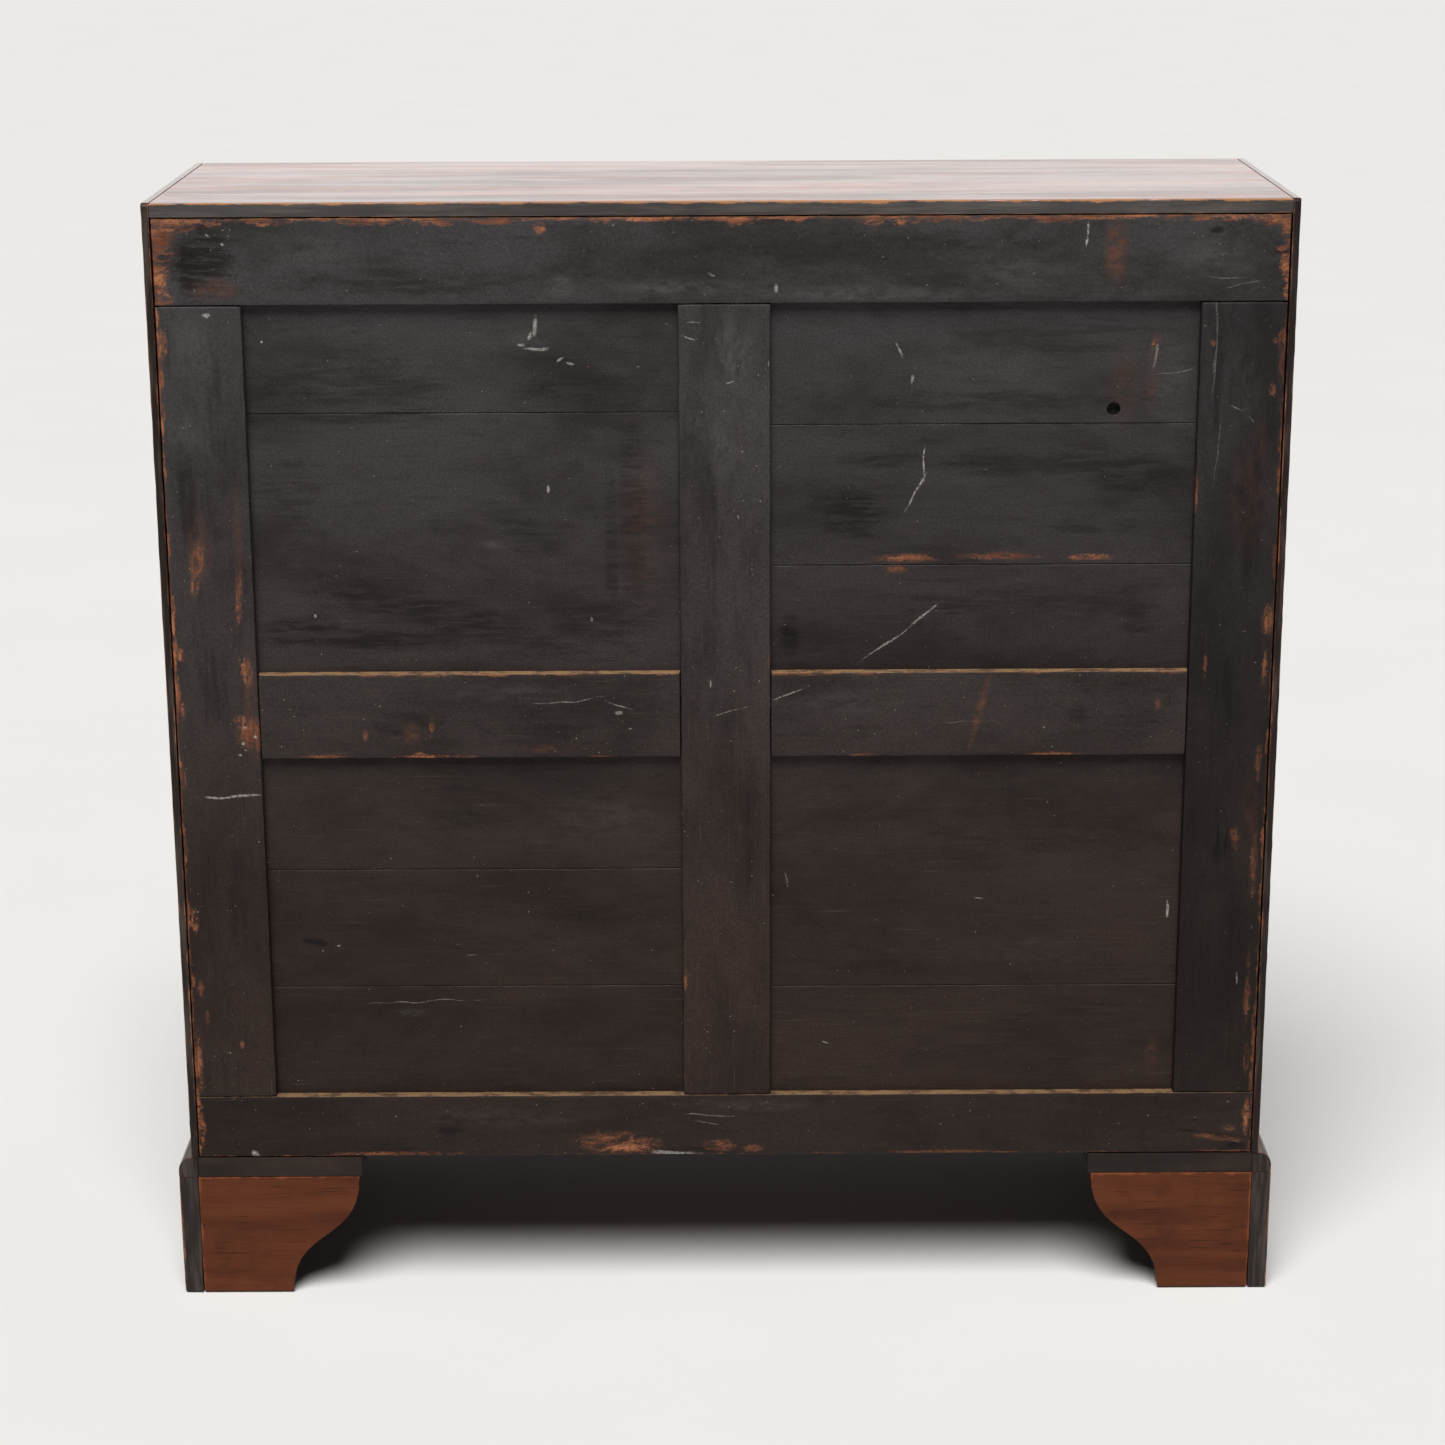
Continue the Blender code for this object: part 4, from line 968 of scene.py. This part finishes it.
def make_door(side_name, glass, bead_look):
    side = SIDES[side_name]
    door = f"{side_name}_door"
    for part in ("hinge_stile", "meeting_stile", "top_rail", "bottom_rail", "glazing_bars"):
        node = f"{door}_{part}"
        low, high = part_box(node)
        piece = start_from(node)
        if part == "glazing_bars":
            soften(piece, 0.0038, 4, lambda p: p.y < low.y + NEAR)
        else:
            soften(piece, 0.0009, 2)
        smooth(piece)
        grain = "X" if "rail" in part else "Z"
        look = mahogany(
            f"polished_{node}", grain, shade(56, 24, 15), shade(118, 58, 34), (low, high),
            coat=0.8, rubbed=0.0 if part == "glazing_bars" else 0.3, shift=low.x * 7 + low.z,
        )
        stand_in(piece, node, look)
    NODES[f"{door}_glass"].data.materials.clear()
    NODES[f"{door}_glass"].data.materials.append(glass)
    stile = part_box(f"{door}_meeting_stile")
    hinge_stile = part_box(f"{door}_hinge_stile")
    near_x = max(abs(stile[0].x), abs(stile[1].x))
    far_x = min(abs(hinge_stile[0].x), abs(hinge_stile[1].x))
    sight_x = sorted((side * near_x, side * far_x))
    sight_z = (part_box(f"{door}_bottom_rail")[1].z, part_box(f"{door}_top_rail")[0].z)
    low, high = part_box(f"{door}_glass")
    moulding = make_ring(sight_x, sight_z, (FRONT_Y + 0.0012, low.y - 0.0003), 0.0062)
    soften(
        moulding, 0.0052, 5,
        lambda p: p.y < FRONT_Y + 0.0014
        and sight_x[0] + 0.005 < p.x < sight_x[1] - 0.005
        and sight_z[0] + 0.005 < p.z < sight_z[1] - 0.005,
    )
    smooth(moulding)
    corners = (Vector((sight_x[0], FRONT_Y, sight_z[0])), Vector((sight_x[1], low.y, sight_z[1])))
    look = mahogany(
        f"polished_{door}_sight_moulding", "Z", shade(50, 22, 14), shade(104, 50, 30), corners,
        coat=0.8, rubbed=0.0,
    )
    seat(moulding, f"{door}_sight_moulding", door, look)
    rebate = 0.0078
    beads = make_ring(
        (sight_x[0] - rebate, sight_x[1] + rebate),
        (sight_z[0] - rebate, sight_z[1] + rebate),
        (high.y + 0.0002, DOOR_BACK_Y - 0.0004),
        rebate,
    )
    soften(beads, 0.0035, 3, lambda p: p.y > DOOR_BACK_Y - 0.0006)
    smooth(beads)
    seat(beads, f"{door}_glass_beads", door, bead_look)


def make_ring(x, z, y, wide):
    """A mitred rectangular frame of four strips, wide across and filling the depth y."""
    bpy.ops.object.select_all(action="DESELECT")
    middle = ((x[0] + x[1]) / 2, y[0], (z[0] + z[1]) / 2)
    bpy.ops.mesh.primitive_plane_add(size=1, location=middle, rotation=(math.radians(90), 0, 0))
    ring = bpy.context.object
    ring.scale = (x[1] - x[0], z[1] - z[0], 1)
    settle(ring)
    edit(ring, "FACE")
    bpy.ops.mesh.inset(thickness=wide)
    bpy.ops.mesh.delete(type="FACE")
    bpy.ops.mesh.select_all(action="SELECT")
    bpy.ops.mesh.extrude_region_move(TRANSFORM_OT_translate={"value": (0, y[1] - y[0], 0)})
    bpy.ops.mesh.select_all(action="SELECT")
    bpy.ops.mesh.normals_make_consistent(inside=False)
    leave()
    return ring


# Metalwork


def make_screw():
    """A countersunk slotted screw head at the origin, facing -Y."""
    radius = 0.0028
    bpy.ops.object.select_all(action="DESELECT")
    bpy.ops.mesh.primitive_cylinder_add(
        vertices=24, radius=radius, depth=0.0008, rotation=(math.radians(90), 0, 0)
    )
    head = bpy.context.object
    settle(head)
    edit(head, "FACE")
    pick_faces(head, lambda middle, normal: normal.y < -0.9)
    bpy.ops.mesh.inset(thickness=radius * 0.18, depth=0.00008)
    half_slot = 0.0003
    for place in (-half_slot, half_slot):
        bpy.ops.mesh.select_all(action="SELECT")
        bpy.ops.mesh.bisect(plane_co=(0, 0, place), plane_no=(0, 0, 1))
    rim = radius * 0.9
    pick_faces(head, lambda at, normal: normal.y < -0.9 and abs(at.z) < half_slot and at.length < rim)
    bpy.ops.mesh.extrude_region_move(TRANSFORM_OT_translate={"value": (0, 0.0003, 0)})
    leave()
    smooth(head, 30)
    return head


def make_metal():
    worn_brass = brass("handled_brass", shade(196, 156, 92), shade(122, 88, 48), 0.26)
    dull_brass = brass("browned_brass", shade(150, 112, 62), shade(92, 64, 36), 0.38)
    dark_iron = iron("old_iron")
    leaves = [
        (f"{side_name}_door_{height}_hinge_{leaf}_leaf", worn_brass, 0.00022)
        for side_name in SIDES
        for height in ("lower", "upper")
        for leaf in ("case", "door")
    ]
    for node, look, width in (
        *leaves,
        ("left_door_bolt_plate", dull_brass, 0.0004),
        ("left_door_bolt", worn_brass, 0.0006),
        ("right_door_escutcheon", worn_brass, 0.0004),
        ("lock_bolt", dull_brass, 0.0004),
        ("lock_case", dark_iron, 0.0005),
        ("key", dark_iron, 0.0005),
    ):
        piece = start_from(node)
        soften(piece, width, 2)
        smooth(piece)
        stand_in(piece, node, look)
    return worn_brass, dark_iron


def place_four(head, node, inset, heights, y, step, look):
    """Four screws near the corners of a plate, each turned step degrees further than the last."""
    low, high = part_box(node)
    corners = [(x, z) for z in heights for x in (low.x + inset, high.x - inset)]
    heads = []
    for number, (x, z) in enumerate(corners):
        spun = Matrix.Rotation(math.pi, 4, "Z") @ Matrix.Rotation(math.radians(step * number), 4, "Y")
        heads.append(copied(head, (x, y, z), spun))
    seat(joined(heads), f"{node}_screws", NODES[node]["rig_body"], look)


def place_screws(worn_brass, dark_iron):
    """Three screws in each hinge leaf, four in the lock's case and four in the bolt's plate."""
    head = make_screw()
    for side_name, side in SIDES.items():
        door = f"{side_name}_door"
        for height in ("lower", "upper"):
            for leaf, body in (("case", "case"), ("door", door)):
                node = f"{door}_{height}_hinge_{leaf}_leaf"
                low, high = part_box(node)
                middle_z = (low.z + high.z) / 2
                inward = -side if leaf == "case" else side
                face = side * HINGE_X - inward * HALF_LEAF_GAP
                quarter = Matrix.Rotation(math.radians(-90 if inward > 0 else 90), 4, "Z")
                heads = []
                for lift, turn in ((-0.022, 20), (0.0, 75), (0.022, -40)):
                    spun = quarter @ Matrix.Rotation(math.radians(turn), 4, "Y")
                    at = (face - inward * 0.00025, FRONT_Y + 0.010, middle_z + lift)
                    heads.append(copied(head, at, spun))
                row = joined(heads)
                smooth(row, 30)
                seat(row, f"{node}_screws", body, worn_brass)
    low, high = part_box("lock_case")
    place_four(head, "lock_case", 0.005, (low.z + 0.005, high.z - 0.005), high.y - 0.0002, 35, dark_iron)
    node = "left_door_bolt_plate"
    heights = (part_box(node)[0].z + 0.005, 1.050)
    place_four(head, node, 0.0045, heights, DOOR_BACK_Y + 0.0016, 50, worn_brass)
    bpy.data.objects.remove(head)


def make_nail():
    """A nail head with a dab of old paint on it, where the muntin meets the top rail."""
    bpy.ops.object.select_all(action="DESELECT")
    at = (-0.0165, BACK_Y - 0.0022, 1.0075)
    bpy.ops.mesh.primitive_uv_sphere_add(segments=20, ring_count=10, radius=0.0034, location=at)
    nail = bpy.context.object
    edit(nail)
    bpy.ops.mesh.bisect(plane_co=(0, at[1], 0), plane_no=(0, -1, 0), use_fill=True, clear_outer=True)
    leave()
    settle(nail)
    edit(nail)
    bpy.ops.transform.resize(value=(1, 0.62, 0.9), center_override=at)
    leave()
    wear(nail, 0.0006, 0.003, lambda point: 1.0)
    smooth(nail)
    look, tree, shader = new_look("cream_dab")
    where = place_of(tree)
    dirt = noise(where, 420, 4, 0.6)
    colour = mix(fade(dirt, 0.42, 0.66), shade(206, 192, 160), shade(120, 98, 70))
    dress(tree, shader, colour, fade(dirt, 0.3, 0.7, 0.5, 0.8), bump(dirt, 0.0003, 0.7))
    seat(nail, "back_top_rail_nail", "case", look)


def make_painted_shade_flap():
    """A dark square of felt hung inside over the cable hole: a dark sheet put there to paint the shade in
    the hole.
    """
    at = (CABLE_HOLE_X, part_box("back_panel_upper_left")[0].y - 0.0011, 0.8990)
    bpy.ops.object.select_all(action="DESELECT")
    bpy.ops.mesh.primitive_cube_add(size=1, location=at, scale=(0.042, 0.0016, 0.048))
    flap = bpy.context.object
    settle(flap)
    edit(flap)
    bpy.ops.mesh.subdivide(number_cuts=9)
    leave()
    wear(flap, 0.0005, 0.012, lambda point: 1.0)
    soften(flap, 0.0003, 2)
    smooth(flap, 50)
    look, tree, shader = new_look("painted_shade_felt")
    where = place_of(tree)
    fibres = noise(where, 1400, 3, 0.7)
    # Near-black felt, standing in for the shade inside the cable hole.
    colour = mix(fade(fibres, 0.4, 0.65), shade(20, 16, 15), shade(44, 36, 32))
    dress(tree, shader, colour, fade(fibres, 0.3, 0.7, 0.85, 1.0), bump(fibres, 0.0004, 0.8))
    seat(flap, "cable_hole_painted_shade_flap", "case", look)


# Floor, light and camera


def hang(name, kind, energy, at, aim, **settings):
    """Hangs a lamp that the camera doesn't see."""
    lamp = bpy.data.lights.new(name, kind)
    lamp.energy = energy
    for setting, value in settings.items():
        setattr(lamp, setting, value)
    holder = bpy.data.objects.new(name, lamp)
    bpy.context.scene.collection.objects.link(holder)
    holder.location = at
    holder.rotation_euler = (Vector(aim) - Vector(at)).to_track_quat("-Z", "Y").to_euler()
    holder.visible_camera = False
    return holder


def keep_light_to(holder, name, lit):
    """Makes a lamp light only the given objects."""
    only = bpy.data.collections.new(name)
    for each in lit:
        only.objects.link(each)
    holder.light_linking.receiver_collection = only


def set_stage():
    bpy.ops.object.select_all(action="DESELECT")
    bpy.ops.mesh.primitive_plane_add(size=400, location=(0, 0, 0))
    floor = bpy.context.object
    floor.name = "floor"
    look, tree, shader = new_look("pale_floor")
    mottle = noise(place_of(tree), 3, 3)
    grey = mix(mottle, (0.362, 0.358, 0.354, 1), (0.378, 0.374, 0.370, 1))
    tree.links.new(grey, shader["Base Color"])
    shader["Roughness"].default_value = 0.9
    shader["Specular IOR Level"].default_value = 0.1
    floor.data.materials.append(look)
    floor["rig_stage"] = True

    world = bpy.data.worlds.new("soft_surround")
    bpy.context.scene.world = world
    world.use_nodes = True
    sky = world.node_tree.nodes["Background"].inputs
    sky["Color"].default_value = (1.0, 0.98, 0.955, 1)
    tree = world.node_tree
    seen = add(tree, "LightPath").outputs["Is Camera Ray"]
    tree.links.new(scaled(seen, 0.75, 0.08), sky["Strength"])

    at, aim, wide = (0.5, 3.4, 6.2), (0, 0.1, 0.5), math.radians(36)
    hang("broad_light_behind_camera", "SUN", 5.6, at, aim, angle=wide, color=(1.0, 0.985, 0.965))
    wash = hang("wash_on_the_floor", "SUN", 2.5, at, aim, angle=wide)
    keep_light_to(wash, "floor_only", [floor])

    panel = {"shape": "RECTANGLE", "size": 2.6, "size_y": 2.0}
    fill = hang("fill_at_the_doors", "AREA", 110, (-1.4, -3.2, 2.6), (0, 0, 0.6), **panel)
    keep_light_to(fill, "cabinet_only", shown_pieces())
    fill.visible_glossy = False

    panel = {"shape": "RECTANGLE", "size": 6.0, "size_y": 2.2}
    card = hang("pale_card", "AREA", 40, (0, -4.2, 1.75), (0, 0, 1.1), **panel)
    card.visible_diffuse = False
    card.visible_transmission = False

    lens = bpy.data.cameras.new("camera")
    lens.lens = 80.4
    lens.sensor_width = 36
    lens.clip_end = 1000
    camera = bpy.data.objects.new("camera", lens)
    bpy.context.scene.collection.objects.link(camera)
    level = Euler((math.radians(90 - 16.1005), 0, math.radians(180 - 0.0810))).to_matrix()
    roll = Matrix.Rotation(math.radians(-0.24536), 3, "Z")
    camera.matrix_world = Matrix.Translation((0.00494, 3.17088, 1.46212)) @ (level @ roll).to_4x4()
    bpy.context.scene.camera = camera
    bpy.context.scene.view_settings.view_transform = "Standard"


make_back()
make_case()
make_base()
glass_look = old_glass("old_glass")
bead_look = putty("brown_putty")
for door_side in SIDES:
    make_door(door_side, glass_look, bead_look)
place_screws(*make_metal())
make_nail()
make_painted_shade_flap()
set_stage()
